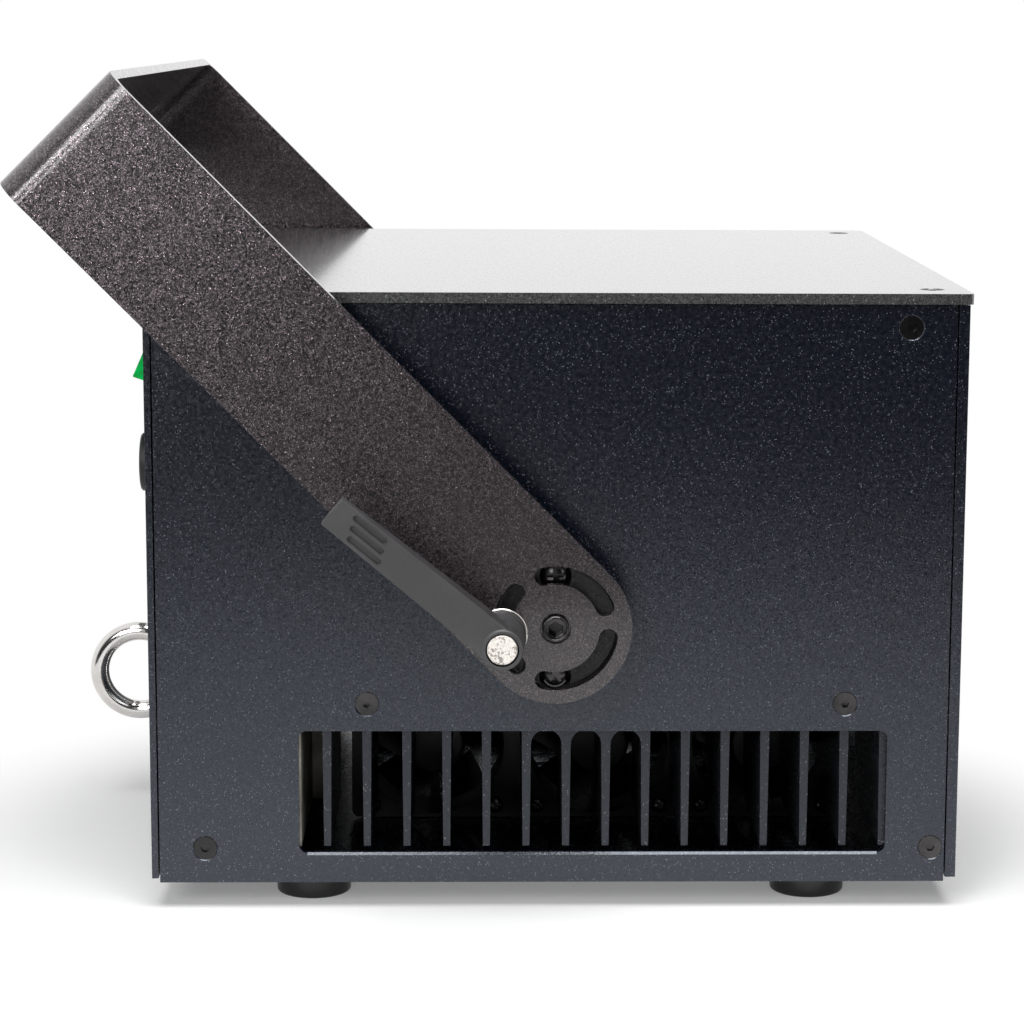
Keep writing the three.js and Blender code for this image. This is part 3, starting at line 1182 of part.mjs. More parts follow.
function addRearFittings() {
  addPiece('switch_housing', switchHousing(), 'plastic');
  addPiece('switch_rocker', switchRocker(), 'greenPlastic');
  addPiece('mains_inlet', mainsConnector(mainsPlaces[0]), 'plastic');
  addPiece('mains_outlet', mainsConnector(mainsPlaces[1]), 'plastic');
  socketPlaces.forEach((place, i) => addPiece(`signal_socket_${i + 1}`, signalSocket(place), 'plastic'));
  addPiece('control_board', controlBoard(), 'circuit');
  addPiece('key_switch_barrel', keyBarrel(), 'steel');
  addPiece('key', key(), 'steel');
  addPiece('safety_eye', safetyEye(), 'steel');
}

// Aperture window and sliding mask on the front panel

const apertureLow = APERTURE_HEIGHT - APERTURE_TALL / 2;
const maskTop = apertureLow - MASK_DROP;
const maskSlotInset = MASK_SLOT_EDGE + MASK_SLOT_WIDTH / 2;
const thumbHeight = maskTop - maskSlotInset;
const thumbPlaces = [-1, 1].map((side) => [(side * THUMB_SPACING) / 2, thumbHeight]);
const maskX = frontX + FIT_GAP;
const maskHalfWidth = THUMB_SPACING / 2 + MASK_SIDE_MARGIN;

function maskPlate() {
  const shape = roundedOutline(-maskHalfWidth, maskHalfWidth, maskTop - MASK_TALL, maskTop, MASK_CORNER);
  const half = MASK_SLOT_WIDTH / 2;
  thumbPlaces.forEach(([y]) => {
    const slotLow = thumbHeight - MASK_TRAVEL - half;
    shape.holes.push(roundedOutline(y - half, y + half, slotLow, thumbHeight + half, half));
  });
  return plate('x', shape, maskX, maskX + MASK_THICKNESS);
}

function thumbScrew(place) {
  const headBack = maskX + MASK_THICKNESS + FIT_GAP;
  const head = bar('x', THUMB_RADIUS, headBack, headBack + THUMB_LENGTH, place);
  const flutes = Array.from({ length: THUMB_FLUTES }, (_, i) => {
    const angle = (i / THUMB_FLUTES) * Math.PI * 2;
    const centre = [place[0] + THUMB_RADIUS * Math.cos(angle), place[1] + THUMB_RADIUS * Math.sin(angle)];
    const [from, to] = [headBack - CUT_OVERRUN, headBack + THUMB_LENGTH + CUT_OVERRUN];
    return bar('x', THUMB_FLUTE_RADIUS, from, to, centre, TINY_SIDES);
  });
  const shank = bar('x', THUMB_SHANK_RADIUS, frontInnerX - THUMB_SHANK_REACH, headBack + CUT_OVERRUN, place,
    SMALL_SIDES);
  return joined(cut(head, ...flutes), shank);
}

function apertureWindow() {
  const shape = centredOutline(0, APERTURE_HEIGHT, APERTURE_WIDTH + 2 * WINDOW_MARGIN,
    APERTURE_TALL + 2 * WINDOW_MARGIN, APERTURE_CORNER);
  return plate('x', shape, insideFrontX - WINDOW_THICKNESS, insideFrontX);
}

function addAperture() {
  addPiece('aperture_window', apertureWindow(), 'glass');
  addPiece('aperture_mask', maskPlate(), 'anodised');
  addPiece('thumb_screw_right', thumbScrew(thumbPlaces[0]), 'blackSteel');
  addPiece('thumb_screw_left', thumbScrew(thumbPlaces[1]), 'blackSteel');
}

// Lasers, beam combiner and scanner on the bench

const laserOffsets = [0, 1, 2].map((i) => LASER_FIRST_OFFSET + i * LASER_PITCH);
const standHeight = benchTop + FIT_GAP;

function laserModule(y) {
  const [rear, front] = [LASER_REAR_OFFSET, LASER_REAR_OFFSET + LASER_LENGTH];
  const top = standHeight + LASER_TALL;
  const half = LASER_WIDTH / 2;
  const body = block(rear, front, y - half, y + half, standHeight, top);
  const pitch = LASER_WIDTH / LASER_FIN_COUNT;
  const slots = Array.from({ length: LASER_FIN_COUNT - 1 }, (_, i) => {
    const middle = y - half + (i + 1) * pitch;
    const wide = LASER_GROOVE_WIDTH / 2;
    return block(rear - CUT_OVERRUN, front + CUT_OVERRUN, middle - wide, middle + wide,
      top - LASER_GROOVE_DEPTH, top + CUT_OVERRUN);
  });
  const nose = bar('x', LASER_NOSE_RADIUS, front - CUT_OVERRUN, front + LASER_NOSE_LENGTH, [y, beamHeight],
    SMALL_SIDES);
  const bore = bar('x', LASER_NOSE_BORE_RADIUS, front, front + LASER_NOSE_LENGTH + CUT_OVERRUN,
    [y, beamHeight], TINY_SIDES);
  return cut(joined(cut(body, ...slots), nose), bore);
}

// Mirrors stand at half a right angle and turn each beam towards the scanner
function turnedBlock(x, y, alongLow, alongHigh, acrossHalf, zLow, zHigh) {
  const shape = block(alongLow, alongHigh, -acrossHalf, acrossHalf, zLow, zHigh);
  return shape.rotateZ(Math.PI / 4).translate(x, y, 0);
}

// A combiner mirror standing in the slot of its mount, below the beam that passes through it
function combinerMirror(y) {
  const half = MIRROR_SIZE / 2;
  const seatTop = beamHeight - half + MIRROR_SEAT_DEPTH;
  const [postWall, footWall] = [MIRROR_POST_WALL, MIRROR_FOOT_WALL];
  return joined(
    turnedBlock(scanX, y, 0, MIRROR_THICKNESS, half, beamHeight - half, beamHeight + half),
    turnedBlock(scanX, y, -postWall, MIRROR_THICKNESS + postWall, MIRROR_POST_WIDTH / 2, standHeight,
      seatTop),
    turnedBlock(scanX, y, -footWall, MIRROR_THICKNESS + footWall, half, standHeight,
      standHeight + MIRROR_FOOT_THICKNESS),
  );
}

const upperBeam = beamHeight + SCAN_MIRROR_RISE;
const scanLowerFace = scanX - MOTOR_MIRROR_GAP;
const scanUpperFace = -MOTOR_MIRROR_GAP;

// The block that clamps both mirror motors, one below the other and square to it
function scannerBlock() {
  const wall = MOTOR_RADIUS + SCAN_BLOCK_WALL;
  const [lower, upper] = [scanLowerFace, scanUpperFace];
  const upperLow = upper - SCAN_BLOCK_LENGTH;
  const lowerPlace = [0, beamHeight];
  const upperPlace = [scanX, upperBeam];
  const shaft = SCAN_SHAFT_RADIUS + SHAFT_CLEARANCE;
  const depth = SCAN_SHAFT_DEPTH + FIT_GAP;
  const body = joined(
    block(lower - SCAN_BLOCK_LENGTH, lower, -wall, wall, standHeight, beamHeight + wall),
    block(scanX - wall, scanX + wall, upperLow, upper, standHeight, upperBeam + wall),
    block(lower - SCAN_BLOCK_WALL, scanX, upperLow, upper, standHeight, beamHeight + wall),
    bar('x', MOTOR_RADIUS, lower - MOTOR_LENGTH, lower - CUT_OVERRUN, lowerPlace, HUB_SIDES),
    bar('y', MOTOR_RADIUS, upper - MOTOR_LENGTH, upper - CUT_OVERRUN, upperPlace, HUB_SIDES),
  );
  return cut(body,
    bar('x', shaft, lower - depth, lower + CUT_OVERRUN, lowerPlace, SMALL_SIDES),
    bar('y', shaft, upper - depth, upper + CUT_OVERRUN, upperPlace, SMALL_SIDES));
}

// A mirror in its clip on the motor's shaft
function scanMirror(axis, face, place, size, normalTurn) {
  const clipLow = face + FIT_GAP;
  const mirrorLow = clipLow + SCAN_CLIP_LENGTH;
  const shaft = bar(axis, SCAN_SHAFT_RADIUS, face - SCAN_SHAFT_DEPTH, clipLow + CUT_OVERRUN, place,
    SMALL_SIDES);
  const clip = bar(axis, SCAN_CLIP_RADIUS, clipLow, mirrorLow, place, SMALL_SIDES);
  const [half, thin] = [size / 2, SCAN_MIRROR_THICKNESS / 2];
  const glass = axis === 'x'
    ? block(-CUT_OVERRUN, SCAN_MIRROR_LENGTH, -half, half, -thin, thin).rotateX(normalTurn)
    : block(-half, half, -CUT_OVERRUN, SCAN_MIRROR_LENGTH, -thin, thin).rotateY(normalTurn);
  const seated = axis === 'x' ? glass.translate(mirrorLow, place[0], place[1])
    : glass.translate(place[0], mirrorLow, place[1]);
  return joined(shaft, clip, seated);
}

function addOptics() {
  ['red', 'green', 'blue'].forEach((colour, i) => {
    addPiece(`laser_module_${colour}`, laserModule(laserOffsets[i]), 'anodised');
    addPiece(`combiner_mirror_${colour}`, combinerMirror(laserOffsets[i]), 'mirror');
  });
  addPiece('scanner_block', scannerBlock(), 'aluminium');
  addPiece('scan_mirror_horizontal', scanMirror('x', scanLowerFace, [0, beamHeight], SCAN_HORIZONTAL_SIZE,
    -Math.PI / 4), 'mirror');
  addPiece('scan_mirror_vertical', scanMirror('y', scanUpperFace, [scanX, upperBeam], SCAN_VERTICAL_SIZE,
    -Math.PI / 4), 'mirror');
}

// Power supply and boards

const supplyY = SUPPLY_SIDE_GAP - insideY;
const driverY = insideY - DRIVER_SIDE_GAP - DRIVER_BOARD_WIDTH;

function powerSupply() {
  const [x, y] = [SUPPLY_REAR_OFFSET, supplyY];
  const top = standHeight + SUPPLY_TALL;
  const body = block(x, x + SUPPLY_LENGTH, y, y + SUPPLY_WIDTH, standHeight, top);
  return cut(body, block(x - CUT_OVERRUN, x + SUPPLY_TERMINAL_DEPTH, y - CUT_OVERRUN,
    y + SUPPLY_WIDTH + CUT_OVERRUN, top - SUPPLY_TERMINAL_DROP, top + CUT_OVERRUN));
}

// A flat board on four posts, with a row of packages on it
function postedBoard(x, y, z, length, width) {
  const boardLow = z + BOARD_POST_HEIGHT;
  const boardTop = boardLow + BOARD_THICKNESS;
  const board = block(x, x + length, y, y + width, boardLow, boardTop);
  const inset = BOARD_POST_INSET;
  const posts = [x + inset, x + length - inset].flatMap((px) => [y + inset, y + width - inset].map((py) => {
    return bar('z', BOARD_POST_RADIUS, z, boardLow + BOARD_THICKNESS / 2, [px, py], TINY_SIDES);
  }));
  const chips = [];
  for (let cy = y + CHIP_SIZE; cy + CHIP_SIZE < y + width; cy += CHIP_PITCH) {
    const middle = x + length / 2;
    chips.push(block(middle - CHIP_SIZE / 2, middle + CHIP_SIZE / 2, cy, cy + CHIP_SIZE, boardLow,
      boardTop + CHIP_HEIGHT));
  }
  return joined(board, ...posts, ...chips);
}

function addElectronics() {
  addPiece('power_supply', powerSupply(), 'aluminium');
  const supplyTop = standHeight + SUPPLY_TALL + FIT_GAP;
  addPiece('scanner_driver_board', postedBoard(SUPPLY_REAR_OFFSET + SUPPLY_TERMINAL_DEPTH + CHIP_PITCH,
    supplyY + BOARD_POST_HEIGHT, supplyTop, SCANNER_BOARD_LENGTH, SCANNER_BOARD_WIDTH), 'circuit');
  addPiece('laser_driver_board', postedBoard(DRIVER_REAR_OFFSET, driverY, standHeight,
    DRIVER_BOARD_LENGTH, DRIVER_BOARD_WIDTH), 'circuit');
}

addHousing();
addFeet();
addCooling();
addBracket();
addRearFittings();
addAperture();
addOptics();
addElectronics();

// The origin lies under the middle of the whole object, on the plane that its feet stand on
const bounds = new THREE.Box3().setFromObject(group);
const middle = bounds.getCenter(new THREE.Vector3());
group.position.set(-middle.x, -middle.y, -bounds.min.z);
group.updateMatrixWorld(true);

export default group;
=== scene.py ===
"""Looks of the laser show projector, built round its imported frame."""

import logging
import math
import random
from contextlib import contextmanager
from dataclasses import dataclass
from enum import Enum
from typing import Iterator, Optional, Sequence, Union

import bpy
from mathutils import Matrix, Vector


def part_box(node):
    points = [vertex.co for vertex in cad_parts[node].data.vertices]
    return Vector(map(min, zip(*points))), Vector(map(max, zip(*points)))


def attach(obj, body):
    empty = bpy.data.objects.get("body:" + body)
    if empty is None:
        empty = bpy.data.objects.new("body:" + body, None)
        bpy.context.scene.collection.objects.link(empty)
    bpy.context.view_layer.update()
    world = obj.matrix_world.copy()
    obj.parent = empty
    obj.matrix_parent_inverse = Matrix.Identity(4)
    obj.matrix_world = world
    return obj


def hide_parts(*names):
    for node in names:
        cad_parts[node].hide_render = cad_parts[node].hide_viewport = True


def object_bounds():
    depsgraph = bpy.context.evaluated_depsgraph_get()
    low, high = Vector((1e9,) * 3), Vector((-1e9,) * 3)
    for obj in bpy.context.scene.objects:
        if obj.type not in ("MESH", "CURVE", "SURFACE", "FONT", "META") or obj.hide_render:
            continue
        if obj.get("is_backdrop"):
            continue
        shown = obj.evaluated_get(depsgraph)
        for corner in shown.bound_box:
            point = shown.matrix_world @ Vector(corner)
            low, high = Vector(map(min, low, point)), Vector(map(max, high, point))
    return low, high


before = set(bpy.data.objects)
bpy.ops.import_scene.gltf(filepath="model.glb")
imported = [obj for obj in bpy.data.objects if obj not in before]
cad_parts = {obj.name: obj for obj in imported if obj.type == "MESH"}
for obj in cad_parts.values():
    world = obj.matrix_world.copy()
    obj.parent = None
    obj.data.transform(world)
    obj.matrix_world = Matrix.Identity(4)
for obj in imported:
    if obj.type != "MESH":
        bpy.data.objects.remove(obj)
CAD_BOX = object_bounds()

LOG = logging.getLogger("projector")

Point = tuple[float, float, float]
Pair = tuple[float, float]
Colour = tuple[float, float, float]
Socket = bpy.types.NodeSocket
Feed = Union[float, Colour, Socket]

MM = 0.001
CUT_OVERRUN = 1.0
MERGE_DISTANCE = 0.002
ROUND_END_FLAT = 0.02
HEX_STEP = 60.0
COVER_TOP = 226.3
PIVOT = (-0.7, 103.1)
CENTRE = (0.0, 0.0)
CONTACT_ANGLES = (90.0, 210.0, 330.0)

# Housing millimetres: x and y from the cover's middle, z from the side panels' lower edge.
_cover_low, _cover_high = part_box("top_cover")
HOUSING_ORIGIN = Vector(
    ((_cover_low.x + _cover_high.x) / 2, 0.0, _cover_high.z - COVER_TOP * MM)
)


class Side(Enum):
    """The two sides of the projector; the value is the sign of Y."""

    RIGHT = -1
    LEFT = 1

    @property
    def word(self) -> str:
        """The side's name as the CAD nodes have it."""
        return self.name.lower()

    @property
    def outward(self) -> Point:
        """The direction that the side faces."""
        return (0.0, float(self.value), 0.0)


class Slot(Enum):
    """Material slots of the record."""

    PANEL = "panel_coat"
    COVER = "cover_coat"
    BRACKET = "bracket_coat"
    FIN = "fin_coat"
    HUB = "hub_coat"
    ALUMINIUM = "bare_aluminium"
    BLACK_STEEL = "black_steel"
    BRIGHT_STEEL = "bright_steel"
    POLISHED_STEEL = "polished_steel"
    RUBBER = "foot_rubber"
    BLACK_PLASTIC = "black_plastic"
    LEVER_PLASTIC = "lever_plastic"
    GREEN_PLASTIC = "green_plastic"
    BOARD = "circuit_board"
    GLASS = "window_glass"
    MIRROR = "mirror_face"


class Axis(Enum):
    """A direction of the housing; in-plane pairs are (y, z), (x, z) and (x, y)."""

    X = 0
    Y = 1
    Z = 2

    @property
    def vector(self) -> Vector:
        """The unit vector of the axis."""
        return Vector([1.0 if i == self.value else 0.0 for i in range(3)])

    def point(self, pair: Pair, along: float) -> Point:
        """Joins an in-plane pair and a distance along the axis.

        Args:
            pair: The two in-plane values.
            along: The distance along the axis.

        Returns:
            The point in housing millimetres.
        """
        values = list(pair)
        values.insert(self.value, along)
        return tuple(values)


def placed(point: Sequence[float]) -> Vector:
    """A point in housing millimetres as a place in the row frame, in metres."""
    return HOUSING_ORIGIN + Vector(point) * MM


def shift(x: float = 0.0, y: float = 0.0, z: float = 0.0) -> Matrix:
    """A straight move in millimetres."""
    return Matrix.Translation(Vector((x, y, z)) * MM)


def turned(degrees: float, axis: Axis) -> Matrix:
    """A turn about an axis through the housing origin."""
    return Matrix.Rotation(math.radians(degrees), 4, axis.name)


def ring(centre: Pair, radius: float, angles: Sequence[float]) -> list[Pair]:
    """Points on a circle.

    Args:
        centre: The middle of the circle.
        radius: Its radius.
        angles: The angle of each point, in degrees.

    Returns:
        The points, in order.
    """
    turns = [math.radians(angle) for angle in angles]
    return [
        (centre[0] + radius * math.cos(turn), centre[1] + radius * math.sin(turn))
        for turn in turns
    ]


def arc(centre: Pair, radius: float, start: float, end: float, steps: int) -> list[Pair]:
    """Points along a circular arc.

    Args:
        centre: The middle of the circle.
        radius: Its radius.
        start: The first angle in degrees.
        end: The last angle in degrees.
        steps: The number of straight parts.

    Returns:
        The points, both ends included.
    """
    return ring(centre, radius, [start + (end - start) * i / steps for i in range(steps + 1)])


def rounded(low: Pair, high: Pair, radius: float, steps: int = 6) -> list[Pair]:
    """The outline of a rectangle with round corners.

    Args:
        low: The lower corner.
        high: The upper corner.
        radius: The corners' radius.
        steps: The number of straight parts in each corner.

    Returns:
        The outline's points, anticlockwise.
    """
    left, right = low[0] + radius, high[0] - radius
    base, top = low[1] + radius, high[1] - radius
    points: list[Pair] = []
    for quarter, centre in enumerate(((right, base), (right, top), (left, top), (left, base))):
        start = 90.0 * (quarter - 1)
        points += arc(centre, radius, start, start + 90.0, steps)
    return points


def centred(place: Pair, width: float, height: float, radius: float) -> list[Pair]:
    """The outline of a rounded rectangle about its middle.

    Args:
        place: Its middle.
        width: Its size in the first direction.
        height: Its size in the second.
        radius: The corners' radius.

    Returns:
        The outline's points, anticlockwise.
    """
    across, up = width / 2, height / 2
    low, high = (place[0] - across, place[1] - up), (place[0] + across, place[1] + up)
    return rounded(low, high, radius)


class Piece:
    """A mesh that operators shape, with its place kept in its mesh."""

    def __init__(self, obj: bpy.types.Object) -> None:
        """Takes over a mesh object that stands at the origin."""
        self.obj = obj

    def alone(self) -> "Piece":
        """Selects this piece and nothing else.

        Returns:
            This piece.
        """
        bpy.ops.object.select_all(action="DESELECT")
        self.obj.select_set(True)
        bpy.context.view_layer.objects.active = self.obj
        return self

    @contextmanager
    def _opened(self) -> Iterator[None]:
        """Keeps the piece in edit mode, at first with all of it selected.

        Yields:
            Nothing; the piece is open meanwhile.
        """
        bpy.ops.object.mode_set(mode="EDIT")
        bpy.ops.mesh.select_all(action="SELECT")
        yield
        bpy.ops.object.mode_set(mode="OBJECT")

    @classmethod
    def taken(cls, name: str) -> "Piece":
        """Names the new primitive and puts its place into its mesh.

        Args:
            name: The piece's name.

        Returns:
            The new piece.
        """
        obj = bpy.context.active_object
        obj.name = name
        obj.data.name = name
        bpy.ops.object.transform_apply(location=True, rotation=True, scale=True)
        return cls(obj)

    @classmethod
    def block(cls, name: str, low: Point, high: Point) -> "Piece":
        """A box between two corners.

        Args:
            name: The piece's name.
            low: Its lowest corner, in housing millimetres.
            high: Its highest corner.

        Returns:
            The new piece.
        """
        bpy.ops.object.select_all(action="DESELECT")
        middle = placed([(a + b) / 2 for a, b in zip(low, high)])
        bpy.ops.mesh.primitive_cube_add(size=1.0, location=middle)
        bpy.context.active_object.scale = [(b - a) * MM for a, b in zip(low, high)]
        return cls.taken(name)

    @classmethod
    def bar(cls, name: str, axis: Axis, radius: float, start: float, end: float, place: Pair,
            sides: int = 48, end_radius: Optional[float] = None) -> "Piece":
        """A round or many-sided bar along an axis.

        Args:
            name: The piece's name.
            axis: The direction that it lies in.
            radius: Its radius at the start.
            start: Where it starts along the axis.
            end: Where it ends, further along.
            place: Its middle in the other two directions.
            sides: The number of its sides.
            end_radius: Its radius at the end, if it is tapered.

        Returns:
            The new piece.
        """
        bpy.ops.object.select_all(action="DESELECT")
        bpy.ops.mesh.primitive_cone_add(
            vertices=sides,
            radius1=radius * MM,
            radius2=(radius if end_radius is None else end_radius) * MM,
            depth=(end - start) * MM,
            end_fill_type="NGON",
        )
        facing = Axis.Z.vector.rotation_difference(axis.vector).to_matrix().to_4x4()
        middle = Matrix.Translation(placed(axis.point(place, (start + end) / 2)))
        bpy.context.active_object.matrix_world = middle @ facing
        return cls.taken(name)

    @classmethod
    def _loop(cls, name: str, points: Sequence[Point], fill: str) -> "Piece":
        """A closed loop of corners, filled with one face or left open.

        Args:
            name: The piece's name.
            points: The corners in order, in housing millimetres.
            fill: NGON or NOTHING.

        Returns:
            The new piece.
        """
        bpy.ops.object.select_all(action="DESELECT")
        bpy.ops.mesh.primitive_circle_add(vertices=len(points), radius=MM, fill_type=fill)
        piece = cls.taken(name)
        for vertex, point in zip(piece.obj.data.vertices, points):
            vertex.co = placed(point)
        return piece

    @classmethod
    def traced(cls, name: str, axis: Axis, outline: Sequence[Pair], start: float,
               end: float) -> "Piece":
        """A plate of any outline, drawn across an axis and extruded along it.

        Args:
            name: The piece's name.
            axis: The direction of its thickness.
            outline: Its points in order, in the plane across the axis.
            start: Where it starts along the axis.
            end: Where it ends.

        Returns:
            The new piece.
        """
        piece = cls._loop(name, [axis.point(pair, start) for pair in outline], "NGON")
        step = axis.vector * (end - start) * MM
        with piece._opened():
            bpy.ops.mesh.extrude_region_move(TRANSFORM_OT_translate={"value": step})
            piece._close()
        return piece

    @classmethod
    def spun(cls, name: str, axis: Axis, profile: Sequence[Pair], place: Pair,
             steps: int = 64) -> "Piece":
        """A turned part, from a closed half section.

        Args:
            name: The piece's name.
            axis: The axis that it is turned about.
            profile: (radius, distance along the axis) pairs in order.
            place: The axis's place in the other two directions.
            steps: The number of steps in a whole turn.

        Returns:
            The new piece.
        """
        corners = [axis.point((place[0], place[1] + radius), along) for radius, along in profile]
        piece = cls._loop(name, corners, "NOTHING")
        middle = placed(axis.point(place, 0.0))
        with piece._opened():
            bpy.ops.mesh.spin(steps=steps, angle=math.tau, center=middle, axis=axis.vector)
            piece._close()
        return piece

    def _close(self) -> None:
        """Merges doubles, drops loose edges and turns the faces outwards."""
        bpy.ops.mesh.select_all(action="SELECT")
        bpy.ops.mesh.remove_doubles(threshold=MERGE_DISTANCE * MM)
        bpy.ops.mesh.select_all(action="SELECT")
        bpy.ops.mesh.delete_loose(use_verts=True, use_edges=True, use_faces=False)
        bpy.ops.mesh.select_all(action="SELECT")
        bpy.ops.mesh.normals_make_consistent(inside=False)

    @classmethod
    def copied(cls, name: str, node: str) -> "Piece":
        """A copy of a CAD node, with its loose triangles merged into clean faces.

        Args:
            name: The new piece's name.
            node: The CAD node.

        Returns:
            The new piece.
        """
        obj = bpy.data.objects.new(name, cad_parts[node].data.copy())
        bpy.context.scene.collection.objects.link(obj)
        obj.data.materials.clear()
        piece = cls(obj).alone()
        with piece._opened():
            bpy.ops.mesh.remove_doubles(threshold=MERGE_DISTANCE * MM)
            bpy.ops.mesh.select_all(action="SELECT")
            bpy.ops.mesh.dissolve_limited(angle_limit=math.radians(0.5))
        return piece

    @classmethod
    def joined(cls, name: str, parts: Sequence["Piece"]) -> "Piece":
        """Makes one piece of parts that don't overlap.

        Args:
            name: Its name.
            parts: The parts, which are used up.

        Returns:
            The one piece.
        """
        whole = parts[0].alone()
        for part in parts:
            part.obj.select_set(True)
        bpy.ops.object.join()
        whole.obj.name = name
        return whole

    def modified(self, kind: str, **settings: object) -> "Piece":
        """Adds a modifier and applies it.

        Args:
            kind: The modifier's type.
            **settings: Its settings.

        Returns:
            This piece.
        """
        self.alone()
        modifier = self.obj.modifiers.new(kind, kind)
        for name, value in settings.items():
            setattr(modifier, name, value)
        bpy.ops.object.modifier_apply(modifier=modifier.name)
        return self

    def _boolean(self, operation: str, others: Sequence["Piece"]) -> "Piece":
        """Applies a boolean with each of the others, which are used up.

        Args:
            operation: The modifier's operation.
            others: The other pieces.

        Returns:
            This piece.
        """
        for other in others:
            self.modified("BOOLEAN", operation=operation, solver="EXACT", object=other.obj)
            bpy.data.objects.remove(other.obj)
        return self

    def carve(self, *cutters: "Piece") -> "Piece":
        """Cuts the cutters away from this piece."""
        return self._boolean("DIFFERENCE", cutters)

    def unite(self, *others: "Piece") -> "Piece":
        """Fuses others with this piece."""
        return self._boolean("UNION", others)

    def keep_common(self, other: "Piece") -> "Piece":
        """Keeps what this piece and another have in common."""
        return self._boolean("INTERSECT", [other])

    def soften(self, width: float, segments: int = 2, angle: float = 30.0,
               smooth: bool = True) -> "Piece":
        """Breaks the sharp edges, then shades the rest smoothly.

        Args:
            width: The width of each broken edge in millimetres.
            segments: The number of its steps.
            angle: The least angle in degrees of an edge that counts as sharp.
            smooth: Whether shallow edges are shaded smoothly.

        Returns:
            This piece.
        """
        self.modified("BEVEL", width=width * MM, segments=segments, limit_method="ANGLE",
                      angle_limit=math.radians(angle))
        return self.smooth(angle) if smooth else self

    def smooth(self, angle: float = 30.0) -> "Piece":
        """Shades shallow edges smoothly.

        Args:
            angle: The least angle in degrees of an edge that stays sharp.

        Returns:
            This piece.
        """
        self.alone()
        bpy.ops.object.shade_smooth_by_angle(angle=math.radians(angle))
        return self._weigh()

    def _weigh(self) -> "Piece":
        """Weights the normals by area, so that flat faces shade flat up to their edges.

        Returns:
            This piece.
        """
        self.alone()
        bpy.ops.mesh.customdata_custom_splitnormals_clear()
        return self.modified("WEIGHTED_NORMAL", keep_sharp=True)

    def moved(self, matrix: Matrix) -> "Piece":
        """Moves the piece by a matrix that acts on metres about the housing origin.

        Args:
            matrix: The move.

        Returns:
            This piece.
        """
        self.alone()
        there, back = Matrix.Translation(HOUSING_ORIGIN), Matrix.Translation(-HOUSING_ORIGIN)
        self.obj.matrix_world = there @ matrix @ back @ self.obj.matrix_world
        bpy.ops.object.transform_apply(location=True, rotation=True, scale=True)
        return self

    def copy(self, name: str, matrix: Matrix) -> "Piece":
        """A moved copy with its own mesh.

        Args:
            name: The copy's name.
            matrix: Its move, as moved() takes it.

        Returns:
            The copy.
        """
        self.alone()
        bpy.ops.object.duplicate(linked=False)
        twin = Piece(bpy.context.active_object)
        twin.obj.name = name
        twin.obj.data.name = name
        return twin.moved(matrix)

    def mirrored(self, name: str) -> "Piece":
        """The opposite-hand copy, across the middle plane of the projector.

        Args:
            name: The copy's name.

        Returns:
            The copy.
        """
        twin = self.copy(name, Matrix.Scale(-1.0, 4, Axis.Y.vector))
        with twin._opened():
            bpy.ops.mesh.normals_make_consistent(inside=False)
        return twin._weigh()

    def dress(self, finish: "Finish", *nodes: str, body: str = "housing") -> "Piece":
        """Finishes the piece and hands it to its body.

        Args:
            finish: Its finish.
            *nodes: The CAD nodes that it stands for.
            body: The CAD body that it moves with.

        Returns:
            This piece.
        """
        self.obj.data.materials.clear()
        self.obj.data.materials.append(finish.material)
        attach(self.obj, body)
        if nodes:
            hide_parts(*nodes)
        LOG.info("%s: %d faces on %s", self.obj.name, len(self.obj.data.polygons), body)
        return self

    def dress_both(self, finish: "Finish", node: str, body: str = "housing") -> None:
        """Dresses this right-hand piece and an opposite-hand copy of it.

        Args:
            finish: Their finish.
            node: The CAD node of each, with {} for the side's word.
            body: The body of each, written in the same way.
        """
        twin = self.mirrored(self.obj.name.replace(Side.RIGHT.word, Side.LEFT.word))
        for piece, side in ((twin, Side.LEFT), (self, Side.RIGHT)):
            piece.dress(finish, node.format(side.word), body=body.format(side.word))


